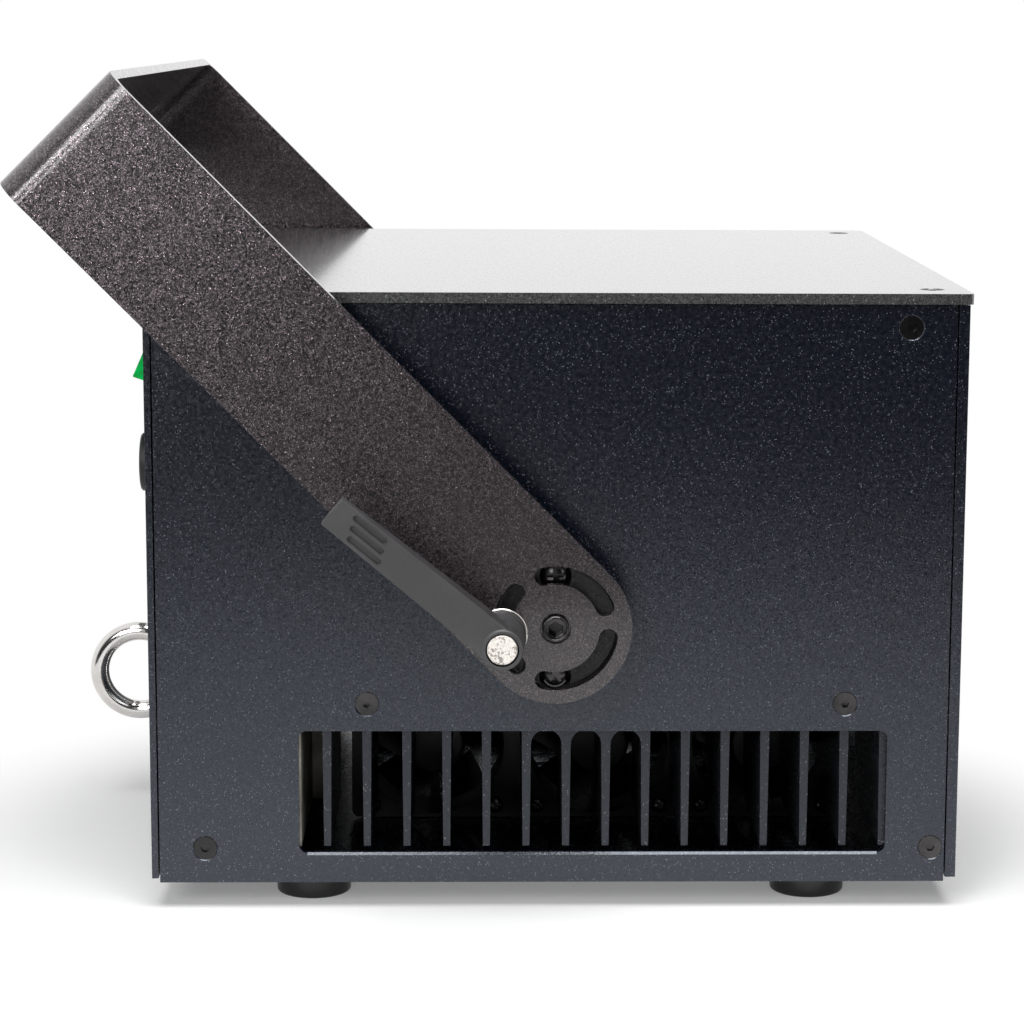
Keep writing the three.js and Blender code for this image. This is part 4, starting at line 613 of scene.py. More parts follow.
class Recipe:
    """The shader nodes of a material or a world while they are being laid out."""

    def __init__(self, owner: bpy.types.ID, slot: Optional[Slot] = None) -> None:
        """Clears the owner's nodes; a slot is given for a finish of the object.

        Args:
            owner: The material or world.
            slot: The record's slot, for a finish of the object.
        """
        self.owner, self.slot = owner, slot
        owner.use_nodes = True
        self.tree = owner.node_tree
        self.tree.nodes.clear()
        self.coordinates = self.tree.nodes.new("ShaderNodeTexCoord").outputs
        self.place = self.coordinates["Object"]

    def node(self, kind: str, feeds: dict[Union[int, str], Feed],
             **settings: object) -> bpy.types.Node:
        """Adds a node.

        Args:
            kind: Its type, without ShaderNode in front.
            feeds: A value or a socket for each input that is set.
            **settings: The node's own settings.

        Returns:
            The node.
        """
        node = self.tree.nodes.new("ShaderNode" + kind)
        for name, value in settings.items():
            setattr(node, name, value)
        for name, value in feeds.items():
            entry = node.inputs[name]
            if isinstance(value, Socket):
                self.tree.links.new(value, entry)
            elif isinstance(value, tuple) and entry.type == "RGBA":
                entry.default_value = (*value, 1.0)
            else:
                entry.default_value = value
        return node

    def stretched(self, scale: Point) -> Socket:
        """Object coordinates stretched for a directional pattern."""
        return self.node("Mapping", {"Vector": self.place, "Scale": scale}).outputs["Vector"]

    def noise(self, scale: float, detail: float = 2.0, vector: Optional[Socket] = None) -> Socket:
        """A noise pattern; the scale is in features per metre."""
        feeds = {"Vector": vector or self.place, "Scale": scale, "Detail": detail}
        return self.node("TexNoise", feeds).outputs[0]

    def _cells(self, scale: float) -> tuple[Socket, Socket, bpy.types.NodeOutputs]:
        """Cells of a Voronoi pattern.

        Args:
            scale: Cells per metre.

        Returns:
            The distance to each cell's middle, its random colour, and that colour split.
        """
        cells = self.node("TexVoronoi", {"Vector": self.place, "Scale": scale}).outputs
        split = self.node("SeparateColor", {0: cells["Color"]}).outputs
        return cells["Distance"], cells["Color"], split

    def dots(self, scale: float) -> tuple[Socket, Socket]:
        """The distance to the middle of each cell, and a random value for each."""
        distance, _, split = self._cells(scale)
        return distance, split[0]

    def flakes(self, scale: float) -> tuple[Socket, Socket]:
        """A random value for each of many small flakes, and its lean about zero.

        Args:
            scale: Flakes per metre.

        Returns:
            A random value for each flake, and its lean.
        """
        _, colour, split = self._cells(scale)
        lean = self.node("VectorMath", {0: colour, 1: (0.5, 0.5, 0.5)}, operation="SUBTRACT")
        return split[2], lean.outputs["Vector"]

    def leaning(self, normal: Socket, lean: Socket, amount: float) -> Socket:
        """A normal that leans by a share of a vector.

        Args:
            normal: The upright normal.
            lean: The vector.
            amount: The share.

        Returns:
            The leaning normal.
        """
        scaled = self.node("VectorMath", {0: lean, "Scale": amount}, operation="SCALE")
        total = self.node("VectorMath", {0: normal, 1: scaled.outputs["Vector"]})
        unit = self.node("VectorMath", {0: total.outputs["Vector"]}, operation="NORMALIZE")
        return unit.outputs["Vector"]

    def span(self, value: Socket, low: float, high: float, start: float = 0.0,
             end: float = 1.0) -> Socket:
        """Maps a range of values smoothly onto another, held at its ends.

        Args:
            value: What is mapped.
            low: The value that becomes start.
            high: The value that becomes end.
            start: The first value of the new range.
            end: The last value of the new range.

        Returns:
            The mapped value.
        """
        feeds = {0: value, 1: low, 2: high, 3: start, 4: end}
        return self.node("MapRange", feeds, interpolation_type="SMOOTHSTEP").outputs[0]

    def math(self, operation: str, first: Feed, second: Feed) -> Socket:
        """One sum of two values."""
        return self.node("Math", {0: first, 1: second}, operation=operation).outputs[0]

    def mix(self, share: Feed, first: Feed, second: Feed) -> Socket:
        """A mix of two numbers."""
        return self.node("Mix", {0: share, 2: first, 3: second}, data_type="FLOAT").outputs[0]

    def blend(self, share: Feed, first: Feed, second: Feed) -> Socket:
        """A mix of two colours."""
        return self.node("Mix", {0: share, 6: first, 7: second}, data_type="RGBA").outputs[2]

    def bump(self, height: Socket, depth: float, strength: float = 1.0) -> Socket:
        """A bump of a depth in millimetres."""
        feeds = {"Height": height, "Distance": depth * MM, "Strength": strength}
        return self.node("Bump", feeds).outputs["Normal"]

    def seen(self, *rays: str) -> Socket:
        """One for a ray of any of the kinds named, and zero for the others.

        Args:
            *rays: The kinds of ray.

        Returns:
            One or zero.
        """
        path = self.node("LightPath", {}).outputs
        found = path[f"Is {rays[0]} Ray"]
        for ray in rays[1:]:
            found = self.math("MAXIMUM", found, path[f"Is {ray} Ray"])
        return found

    def end(self, surface: bpy.types.Node, kind: str = "OutputMaterial") -> None:
        """Leads a shader to the output."""
        self.node(kind, {"Surface": surface.outputs[0]})

    def shade(self, **inputs: Feed) -> "Finish":
        """Ends the recipe of one of the object's finishes.

        Args:
            **inputs: Values or sockets of the Principled shader, with _ for spaces.

        Returns:
            The finish.
        """
        feeds = {name.replace("_", " "): value for name, value in inputs.items()}
        self.end(self.node("BsdfPrincipled", feeds))
        return Finish(self.owner, self.slot)


@dataclass(frozen=True)
class Finish:
    """A material, with the record's slot that it stands for."""

    material: bpy.types.Material
    slot: Slot

    def keep(self, *nodes: str) -> None:
        """Gives this finish to CAD nodes that stay shown.

        Args:
            *nodes: The nodes.
        """
        for node in nodes:
            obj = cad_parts[node]
            if not obj.data.materials:
                obj.data.materials.append(self.material)
            for entry in obj.material_slots:
                entry.material = self.material
            LOG.info("%s: kept with %s", node, self.material.name)


@dataclass(frozen=True)
class Surface:
    """What every kind of finish has."""

    name: str
    slot: Slot
    base: Colour

    def _recipe(self) -> Recipe:
        """Starts the finish's material."""
        return Recipe(bpy.data.materials.new(self.name), self.slot)


@dataclass(frozen=True)
class PowderCoat(Surface):
    """A textured coat with metal flakes in it, baked on sheet metal; a share of the flakes gets a
    painted glint colour.
    """

    flake: Colour
    # glint: the colour of a share of the flakes, a painted sparkle.
    glint: Colour
    roughness: float
    flakes: float = 2500.0
    flake_share: float = 0.8
    flake_lean: float = 0.2
    flake_metal: float = 0.5
    glint_share: float = 0.02
    grain: float = 1500.0
    grain_depth: float = 0.03
    specular: float = 0.5
    coat: float = 0.0
    coat_roughness: float = 0.1
    tint: Colour = (1.0, 1.0, 1.0)
    cloud: float = 14.0
    cloud_dark: float = 0.85
    roughness_spread: float = 0.05

    def build(self) -> Finish:
        """Lays out the material.

        Returns:
            The finish.
        """
        recipe = self._recipe()
        chance, lean = recipe.flakes(self.flakes)
        lit = recipe.span(chance, 1.0 - self.flake_share, 1.0)
        # Painted sparkle: this share of the flakes takes the glint colour, brighter than their own
        # tone, besides the light their leaning normals catch.
        bright = recipe.span(chance, 1.0 - self.glint_share, 1.0 - self.glint_share / 2)
        cloud = recipe.span(recipe.noise(self.cloud, 4.0), 0.3, 0.7)
        darker: Colour = tuple(value * self.cloud_dark for value in self.base)
        colour = recipe.blend(lit, recipe.blend(cloud, darker, self.base), self.flake)
        smooth, rough = (self.roughness + way * self.roughness_spread for way in (-1, 1))
        relief = recipe.bump(recipe.noise(self.grain, 3.0), self.grain_depth, 0.6)
        return recipe.shade(
            Base_Color=recipe.blend(bright, colour, self.glint),
            Metallic=recipe.math("MULTIPLY", lit, self.flake_metal),
            Roughness=recipe.span(recipe.noise(self.grain * 0.4, 3.0), 0.3, 0.7, smooth, rough),
            Specular_IOR_Level=self.specular,
            Coat_Weight=self.coat,
            Coat_Roughness=self.coat_roughness,
            Specular_Tint=self.tint,
            Normal=recipe.leaning(relief, lean, self.flake_lean),
        )


@dataclass(frozen=True)
class Metal(Surface):
    """Bare, plated or polished metal."""

    tint: Colour
    roughness: float
    brushed: Point = (1.0, 1.0, 1.0)
    scratch_depth: float = 0.01
    metallic: float = 1.0
    grain: float = 900.0
    smear: float = 60.0

    def build(self) -> Finish:
        """Lays out the material.

        Returns:
            The finish.
        """
        recipe = self._recipe()
        lines = recipe.noise(self.grain, 4.0, recipe.stretched(self.brushed))
        smear = recipe.noise(self.smear, 4.0)
        fine = recipe.span(lines, 0.3, 0.7, self.roughness * 0.75, self.roughness * 1.15)
        return recipe.shade(
            Base_Color=recipe.blend(recipe.span(smear, 0.35, 0.7), self.base, self.tint),
            Metallic=self.metallic,
            Roughness=recipe.math("ADD", fine, recipe.span(smear, 0.4, 0.75, 0.0, 0.08)),
            Normal=recipe.bump(lines, self.scratch_depth, 0.6),
        )


@dataclass(frozen=True)
class Moulded(Surface):
    """Moulded plastic or rubber with a fine spark-eroded grain."""

    worn: Colour
    roughness: float
    grain_depth: float = 0.03
    grain: float = 1600.0
    cloud: float = 45.0

    def build(self) -> Finish:
        """Lays out the material.

        Returns:
            The finish.
        """
        recipe = self._recipe()
        cloud = recipe.noise(self.cloud, 4.0)
        fine = recipe.noise(self.grain, 3.0)
        broad = recipe.span(cloud, 0.4, 0.75, 0.0, 0.5)
        share = recipe.math("ADD", broad, recipe.span(fine, 0.45, 0.75, 0.0, 0.4))
        smooth, rough = self.roughness - 0.06, self.roughness + 0.08
        return recipe.shade(
            Base_Color=recipe.blend(share, self.base, self.worn),
            Roughness=recipe.span(cloud, 0.3, 0.7, smooth, rough),
            Normal=recipe.bump(fine, self.grain_depth, 0.7),
        )


@dataclass(frozen=True)
class ClearPlastic(Surface):
    """The translucent plastic of the rocker, with a painted glow: emission in its own colour stands
    in for light on it.
    """

    deep: Colour
    glow: float

    def build(self) -> Finish:
        """Lays out the material.

        Returns:
            The finish.
        """
        recipe = self._recipe()
        cloud = recipe.noise(220.0)
        colour = recipe.blend(recipe.span(cloud, 0.3, 0.7), self.base, self.deep)
        return recipe.shade(
            Base_Color=colour,
            Roughness=recipe.span(cloud, 0.3, 0.7, 0.12, 0.2),
            Transmission_Weight=0.25,
            # Painted glow: emission in the plastic's own colour, not a lamp.
            Emission_Color=colour,
            Emission_Strength=self.glow,
            Normal=recipe.bump(recipe.noise(500.0), 0.02, 0.5),
        )


@dataclass(frozen=True)
class CoatedGlass(Surface):
    """Window glass with a faint anti-reflection tint."""

    index: float = 1.5

    def build(self) -> Finish:
        """Lays out the material.

        Returns:
            The finish.
        """
        recipe = self._recipe()
        haze = recipe.span(recipe.noise(40.0, 3.0), 0.4, 0.8, 0.0, 0.03)
        return recipe.shade(Base_Color=self.base, Roughness=haze, Transmission_Weight=1.0,
                            IOR=self.index)


@dataclass(frozen=True)
class CircuitBoard(Surface):
    """A printed board with its solder mask, tracks and pads."""

    track: Colour
    pad: Colour
    spacing: float = 260.0
    stretch: float = 0.12

    def build(self) -> Finish:
        """Lays out the material.

        Returns:
            The finish.
        """
        recipe = self._recipe()
        ways = ((self.stretch, 1.0, 1.0), (1.0, self.stretch, 1.0))
        rows, columns = (recipe.noise(self.spacing, 1.0, recipe.stretched(way)) for way in ways)
        lines = recipe.span(recipe.math("MAXIMUM", rows, columns), 0.6, 0.63)
        distance, chance = recipe.dots(240.0)
        middles, chosen = recipe.span(distance, 0.2, 0.26, 1.0, 0.0), recipe.span(chance, 0.6, 0.62)
        pads = recipe.math("MULTIPLY", middles, chosen)
        return recipe.shade(
            Base_Color=recipe.blend(pads, recipe.blend(lines, self.base, self.track), self.pad),
            Metallic=pads,
            Roughness=recipe.span(pads, 0.0, 1.0, 0.42, 0.25),
            Normal=recipe.bump(recipe.math("ADD", lines, pads), 0.05, 0.8),
        )


@dataclass(frozen=True)
class SpeckledSteel(Surface):
    """The sand-cast face of the clamp stud, silver with dark pits."""

    pit: Colour

    def build(self) -> Finish:
        """Lays out the material.

        Returns:
            The finish.
        """
        recipe = self._recipe()
        coarse = recipe.span(recipe.noise(900.0, 3.0), 0.52, 0.62)
        fine = recipe.span(recipe.noise(2600.0), 0.5, 0.68, 0.0, 0.7)
        pits = recipe.math("MAXIMUM", coarse, fine)
        return recipe.shade(
            Base_Color=recipe.blend(pits, self.base, self.pit),
            Metallic=recipe.span(pits, 0.0, 1.0, 0.15, 0.8),
            Roughness=recipe.span(pits, 0.0, 1.0, 0.5, 0.32),
            Normal=recipe.bump(pits, 0.12, 0.8),
        )


class Finishes:
    """Every finish of the projector, made once."""

    def __init__(self) -> None:
        """Builds the materials."""
        cool = (0.84, 0.9, 1.0)
        # In each coat the third colour is the painted glint of a share of the flakes.
        self.panel = PowderCoat(
            "Panel coat", Slot.PANEL, (0.0018, 0.0028, 0.0075), (0.005, 0.007, 0.013),
            (0.16, 0.175, 0.205), 0.24, flakes=3200.0, specular=1.0, flake_lean=0.11,
            flake_metal=0.22, glint_share=0.025, tint=cool,
        ).build()
        self.cover = PowderCoat(
            "Cover coat", Slot.COVER, (0.03, 0.03, 0.031), (0.14, 0.14, 0.145),
            (0.35, 0.37, 0.37), 0.25, flake_lean=0.05, grain_depth=0.01, specular=1.0, coat=1.0,
        ).build()
        self.bracket = PowderCoat(
            "Bracket coat", Slot.BRACKET, (0.004, 0.0034, 0.0037), (0.26, 0.215, 0.235),
            (0.5, 0.43, 0.45), 0.28, flakes=4000.0, flake_share=0.5, flake_lean=0.17,
            flake_metal=1.0, grain_depth=0.02, coat=1.0, coat_roughness=0.09,
        ).build()
        self.hub = PowderCoat(
            "Hub anodising", Slot.HUB, (0.004, 0.004, 0.0045), (0.012, 0.012, 0.013),
            (0.06, 0.06, 0.06), 0.36, grain_depth=0.015,
        ).build()
        self.fin = PowderCoat(
            "Fin coat", Slot.FIN, (0.006, 0.007, 0.010), (0.045, 0.048, 0.057),
            (0.2, 0.2, 0.22), 0.3, specular=0.6, tint=cool,
        ).build()
        self.aluminium = Metal(
            "Milled aluminium", Slot.ALUMINIUM, (0.52, 0.52, 0.51), (0.34, 0.34, 0.33), 0.38,
            (1.0, 1.0, 0.06),
        ).build()
        self.bare_wall = Metal(
            "Bare extruded aluminium", Slot.ALUMINIUM, (0.62, 0.58, 0.52), (0.30, 0.27, 0.23),
            0.5, (1.0, 1.0, 0.08), scratch_depth=0.03, metallic=0.35,
        ).build()
        self.black_steel = Metal(
            "Blackened steel", Slot.BLACK_STEEL, (0.085, 0.08, 0.08), (0.045, 0.044, 0.045),
            0.2, metallic=0.95,
        ).build()
        self.bright_steel = Metal(
            "Zinc plated steel", Slot.BRIGHT_STEEL, (0.62, 0.61, 0.59), (0.46, 0.45, 0.43), 0.24
        ).build()
        polished = ((0.74, 0.72, 0.70), (0.62, 0.60, 0.57), 0.12)
        self.polished_steel = Metal(
            "Polished stainless steel", Slot.POLISHED_STEEL, *polished, scratch_depth=0.004
        ).build()
        self.washer_steel = Finish(self.polished_steel.material, Slot.BRIGHT_STEEL)
        self.speckled_steel = SpeckledSteel(
            "Speckled steel", Slot.BRIGHT_STEEL, (0.98, 0.93, 0.87), (0.5, 0.46, 0.41)
        ).build()
        self.rubber = Moulded(
            "Foot rubber", Slot.RUBBER, (0.006, 0.006, 0.007), (0.016, 0.016, 0.017), 0.26, 0.015
        ).build()
        self.black_plastic = Moulded(
            "Black plastic", Slot.BLACK_PLASTIC, (0.009, 0.009, 0.01), (0.024, 0.024, 0.025),
            0.42,
        ).build()
        self.lever_plastic = Moulded(
            "Lever plastic", Slot.LEVER_PLASTIC, (0.054, 0.053, 0.055), (0.082, 0.081, 0.084),
            0.38,
        ).build()
        # The green plastic's last value is its painted glow.
        self.green_plastic = ClearPlastic(
            "Green plastic", Slot.GREEN_PLASTIC, (0.0, 0.52, 0.10), (0.0, 0.30, 0.05), 0.35
        ).build()
        self.board = CircuitBoard(
            "Circuit board", Slot.BOARD, (0.006, 0.05, 0.022), (0.012, 0.09, 0.04),
            (0.6, 0.48, 0.26),
        ).build()
        self.glass = CoatedGlass("Window glass", Slot.GLASS, (0.93, 0.96, 1.0)).build()
        self.mirror = Metal(
            "Mirror coating", Slot.MIRROR, (0.85, 0.86, 0.88), (0.78, 0.80, 0.83), 0.04,
            scratch_depth=0.0,
        ).build()
        self.gold = Metal(
            "Gold plated contact", Slot.BRIGHT_STEEL, (0.83, 0.60, 0.26), (0.70, 0.48, 0.20), 0.24
        ).build()


class Head(Enum):
    """The heads of the small screws."""

    COUNTERSUNK_HEX = "countersunk hex socket"
    PAN_CROSS = "pan head with a cross recess"


@dataclass
class Fastener:
    """One kind of screw, modelled once and copied to its places."""

    head: Head
    finish: Finish
    head_radius: float
    head_height: float
    shank_radius: float
    length: float
    recess: float
    recess_depth: float
    sides: int = 32
    rim: Pair = (0.15, 0.45)
    drill_radius: float = 1.35
    drill_depth: float = 0.75
    cross_share: float = 0.24

    def __post_init__(self) -> None:
        """Models the screw at the housing origin, with its head up along Z."""
        hexagonal = self.head is Head.COUNTERSUNK_HEX
        screw = self._countersunk() if hexagonal else self._pan_head()
        self.master = screw.smooth(35.0)

    def _countersunk(self) -> Piece:
        """The screw with a flat conical head and a hex socket.

        Returns:
            The screw.
        """
        radius, floor = self.head_radius, -self.recess_depth
        profile = [
            CENTRE, (radius - 0.2, 0.0), (radius, -self.rim[0]), (radius, -self.rim[1]),
            (self.shank_radius, -self.head_height), (self.shank_radius, -self.length),
            (0.0, -self.length),
        ]
        point = [(0.0, floor + 0.1), (self.drill_radius, floor + 0.1),
                 (0.0, floor - self.drill_depth)]
        return Piece.spun("screw master", Axis.Z, profile, CENTRE, self.sides).carve(
            Piece.bar("socket", Axis.Z, self.recess, floor, CUT_OVERRUN, CENTRE, 6),
            Piece.spun("drill point", Axis.Z, point, CENTRE, 24),
        )

    def _pan_head(self) -> Piece:
        """The screw with a domed head and a cross recess.

        Returns:
            The screw.
        """
        radius, rise = self.head_radius, self.head_height
        profile = [(0.0, rise)]
        for angle in (1.35, 1.05, 0.7, 0.35, 0.0):
            profile.append((radius * math.cos(angle), rise * (0.45 + 0.55 * math.sin(angle))))
        profile += [(radius, 0.0), (self.shank_radius, 0.0), (self.shank_radius, -self.length),
                    (0.0, -self.length)]
        screw = Piece.spun("screw master", Axis.Z, profile, CENTRE, self.sides)
        half, thin = self.recess, self.recess * self.cross_share
        floor, top = rise - self.recess_depth, rise + CUT_OVERRUN
        for wide, deep in ((half, thin), (thin, half)):
            screw.carve(Piece.block("recess", (-wide, -deep, floor), (wide, deep, top)))
        return screw

    def place(self, name: str, at: Point, towards: Point, turn: float) -> None:
        """Puts a copy of the screw in its hole, on the housing.

        Args:
            name: The copy's name.
            at: The place of the head's seat, in housing millimetres.
            towards: The direction that the head faces.
            turn: How far the screw is turned about its axis, in degrees.
        """
        facing = Axis.Z.vector.rotation_difference(Vector(towards)).to_matrix().to_4x4()
        self.master.copy(name, shift(*at) @ facing @ turned(turn, Axis.Z)).dress(self.finish)

    def clear(self) -> None:
        """Removes the screw that the copies were taken from."""
        bpy.data.objects.remove(self.master.obj)


@dataclass
class Housing:
    """Side panels, cover and end panels, with the screws that hold them."""

    finishes: Finishes
    side_y: float = 170.0
    side_thickness: float = 3.0
    side_rear: float = -150.9
    side_front: float = 149.4
    side_top: float = 222.0
    vent_low: Pair = (-97.7, 11.6)
    vent_high: Pair = (126.6, 59.3)
    vent_corner: float = 3.0
    sill_break: float = 0.9
    overlap: float = 0.5
    boss_radius: float = 26.0
    boss_rise: float = 6.0
    boss_break: float = 0.8
    cover_half: Pair = (155.25, 171.25)
    cover_bottom: float = 222.3
    cover_corner: float = 2.0
    cover_break: float = 0.8
    end_x: float = 154.0
    hole_radius: float = 2.8
    sink_radius: float = 4.9
    sink_drop: float = 2.1
    edge_break: float = 0.35
    screw_seat: float = 0.35
    side_screws: tuple[Pair, ...] = (
        (132.2, 213.5), (-133.6, 213.5), (110.1, 69.8), (-71.6, 69.8), (144.1, 13.4),
        (-133.6, 13.4),
    )
    end_screws: tuple[Pair, ...] = ((-135.0, 213.5), (135.0, 213.5), (-135.0, 13.4), (135.0, 13.4))
    cover_screws: tuple[Pair, ...] = (
        (-142.0, -152.5), (142.0, -152.5), (-142.0, 152.5), (142.0, 152.5)
    )

    def build(self) -> None:
        """Builds and dresses the housing."""
        self._sides()
        self._cover()
        for word in ("front", "rear"):
            panel = Piece.copied(f"{word}_plate", f"{word}_panel")
            panel.soften(self.edge_break, 2, 35.0).dress(self.finishes.panel, f"{word}_panel")
        self._screws()

    def _sinks(self, axis: Axis, outer: float, inner: float,
               places: Sequence[Pair]) -> Iterator[Piece]:
        """Cutters for countersunk holes.

        Args:
            axis: The direction of the holes.
            outer: The outer face's place along the axis.
            inner: The inner face's place along the axis.
            places: The holes' places across the axis.

        Yields:
            A straight and a tapered cutter for each hole.
        """
        inward = 1.0 if inner > outer else -1.0
        through = sorted((outer - inward, inner + inward * CUT_OVERRUN))
        sunk = sorted((outer, outer + inward * self.sink_drop))
        rim, throat = self.sink_radius, self.hole_radius
        start, end = (rim, throat) if inward > 0 else (throat, rim)
        for place in places:
            yield Piece.bar("hole", axis, self.hole_radius, *through, place, 32)
            yield Piece.bar("sink", axis, start, *sunk, place, 40, end)

    def _sides(self) -> None:
        """The side panels with their vent windows and the bosses behind the hubs."""
        outer, inner = -self.side_y, -self.side_y + self.side_thickness
        low, high = (self.side_rear, outer, 0.0), (self.side_front, inner, self.side_top)
        panel = Piece.block("side_panel_shell_right", low, high)
        window = rounded(self.vent_low, self.vent_high, self.vent_corner, 8)
        edge, over = self.vent_low[1], self.overlap
        sill = [
            (outer - over, edge - self.sill_break - over),
            (outer + self.sill_break + over, edge + over),
            (outer - over, edge + over),
        ]
        left, right = self.vent_low[0] + self.vent_corner, self.vent_high[0] - self.vent_corner
        panel.carve(
            Piece.traced("sill", Axis.X, sill, left, right),
            Piece.traced("window", Axis.Y, window, outer - CUT_OVERRUN, inner + CUT_OVERRUN),
            *self._sinks(Axis.Y, outer, inner, self.side_screws),
        )
        root, top = inner - self.overlap, inner + self.boss_rise
        radius, edge = self.boss_radius, self.boss_break
        profile = [(0.0, root), (radius, root), (radius, top - edge), (radius - edge, top),
                   (0.0, top)]
        panel.unite(Piece.spun("boss", Axis.Y, profile, PIVOT, 96)).soften(self.edge_break)
        panel.dress_both(self.finishes.panel, "side_panel_{}")

    def _cover(self) -> None:
        """The top cover with its broken edges."""
        x, y = self.cover_half
        outline = rounded((-x, -y), (x, y), self.cover_corner)
        cover = Piece.traced("cover_plate", Axis.Z, outline, self.cover_bottom, COVER_TOP)
        cover.carve(*self._sinks(Axis.Z, COVER_TOP, self.cover_bottom, self.cover_screws))
        cover.soften(self.cover_break, 3).dress(self.finishes.cover, "top_cover")

    def _screw_places(self) -> Iterator[tuple[str, Point, Point]]:
        """The name, seat and direction of each countersunk screw.

        Yields:
            The screws of the sides, the ends and the cover.
        """
        for side in Side:
            y = side.value * (self.side_y - self.screw_seat)
            for number, (x, z) in enumerate(self.side_screws, start=1):
                yield f"side_screw_{number}_{side.word}", (x, y, z), side.outward
        for word, way in (("front", 1.0), ("rear", -1.0)):
            x = way * (self.end_x - self.screw_seat)
            for number, (y, z) in enumerate(self.end_screws, start=1):
                yield f"{word}_screw_{number}", (x, y, z), (way, 0.0, 0.0)
        for number, (x, y) in enumerate(self.cover_screws, start=1):
            yield f"cover_screw_{number}", (x, y, COVER_TOP - self.screw_seat), (0.0, 0.0, 1.0)

    def _screws(self) -> None:
        """The countersunk screws, each turned by chance."""
        screw = Fastener(
            Head.COUNTERSUNK_HEX, self.finishes.black_steel, head_radius=4.6, head_height=2.5,
            shank_radius=2.3, length=12.0, recess=1.73, recess_depth=1.5,
        )
        spin = random.Random(7)
        for name, at, towards in self._screw_places():
            screw.place(name, at, towards, spin.uniform(0.0, HEX_STEP))
        screw.clear()


@dataclass
class Feet:
    """The four rubber feet and the screws in their recesses."""

    finishes: Finishes
    rear_x: float = -93.7
    front_x: float = 99.5
    half_track: float = 143.0
    top: float = 0.3
    bottom: float = -10.5
    top_radius: float = 15.0
    low_radius: float = 14.4
    edge_round: float = 1.2
    recess_radius: float = 5.0
    recess_depth: float = 5.0
    screw_turn: float = 20.0

    def build(self) -> None:
        """Builds one foot and copies it."""
        low, edge, top, wide = self.bottom, self.edge_round, self.top, self.top_radius
        floor, recess = low + self.recess_depth, self.recess_radius
        profile = [(0.0, top), (wide - 0.5, top), (wide, top - 0.5), (wide, top - 1.6),
                   (wide - 0.35, top - 2.0)]
        profile += arc((self.low_radius - edge, low + edge), edge, 0, -90, 6)
        profile += [(recess + 0.4, low), (recess, low + 0.4), (recess, floor), (0.0, floor)]
        master = Piece.spun("foot master", Axis.Z, profile, CENTRE, 72).smooth(40.0)
        screw = Fastener(
            Head.PAN_CROSS, self.finishes.bright_steel, head_radius=3.9, head_height=2.2,
            shank_radius=1.8, length=3.0, recess=2.0, recess_depth=1.4, sides=24,
        )
        for end, x in (("rear", self.rear_x), ("front", self.front_x)):
            for side in Side:
                name, y = f"{end}_{side.word}", side.value * self.half_track
                foot = master.copy(f"foot_{name}", shift(x, y))
                foot.dress(self.finishes.rubber, f"rubber_foot_{name}")
                at = (x, y, floor - 0.1)
                screw.place(f"foot_screw_{name}", at, (0.0, 0.0, -1.0), self.screw_turn)
        screw.clear()
        bpy.data.objects.remove(master.obj)


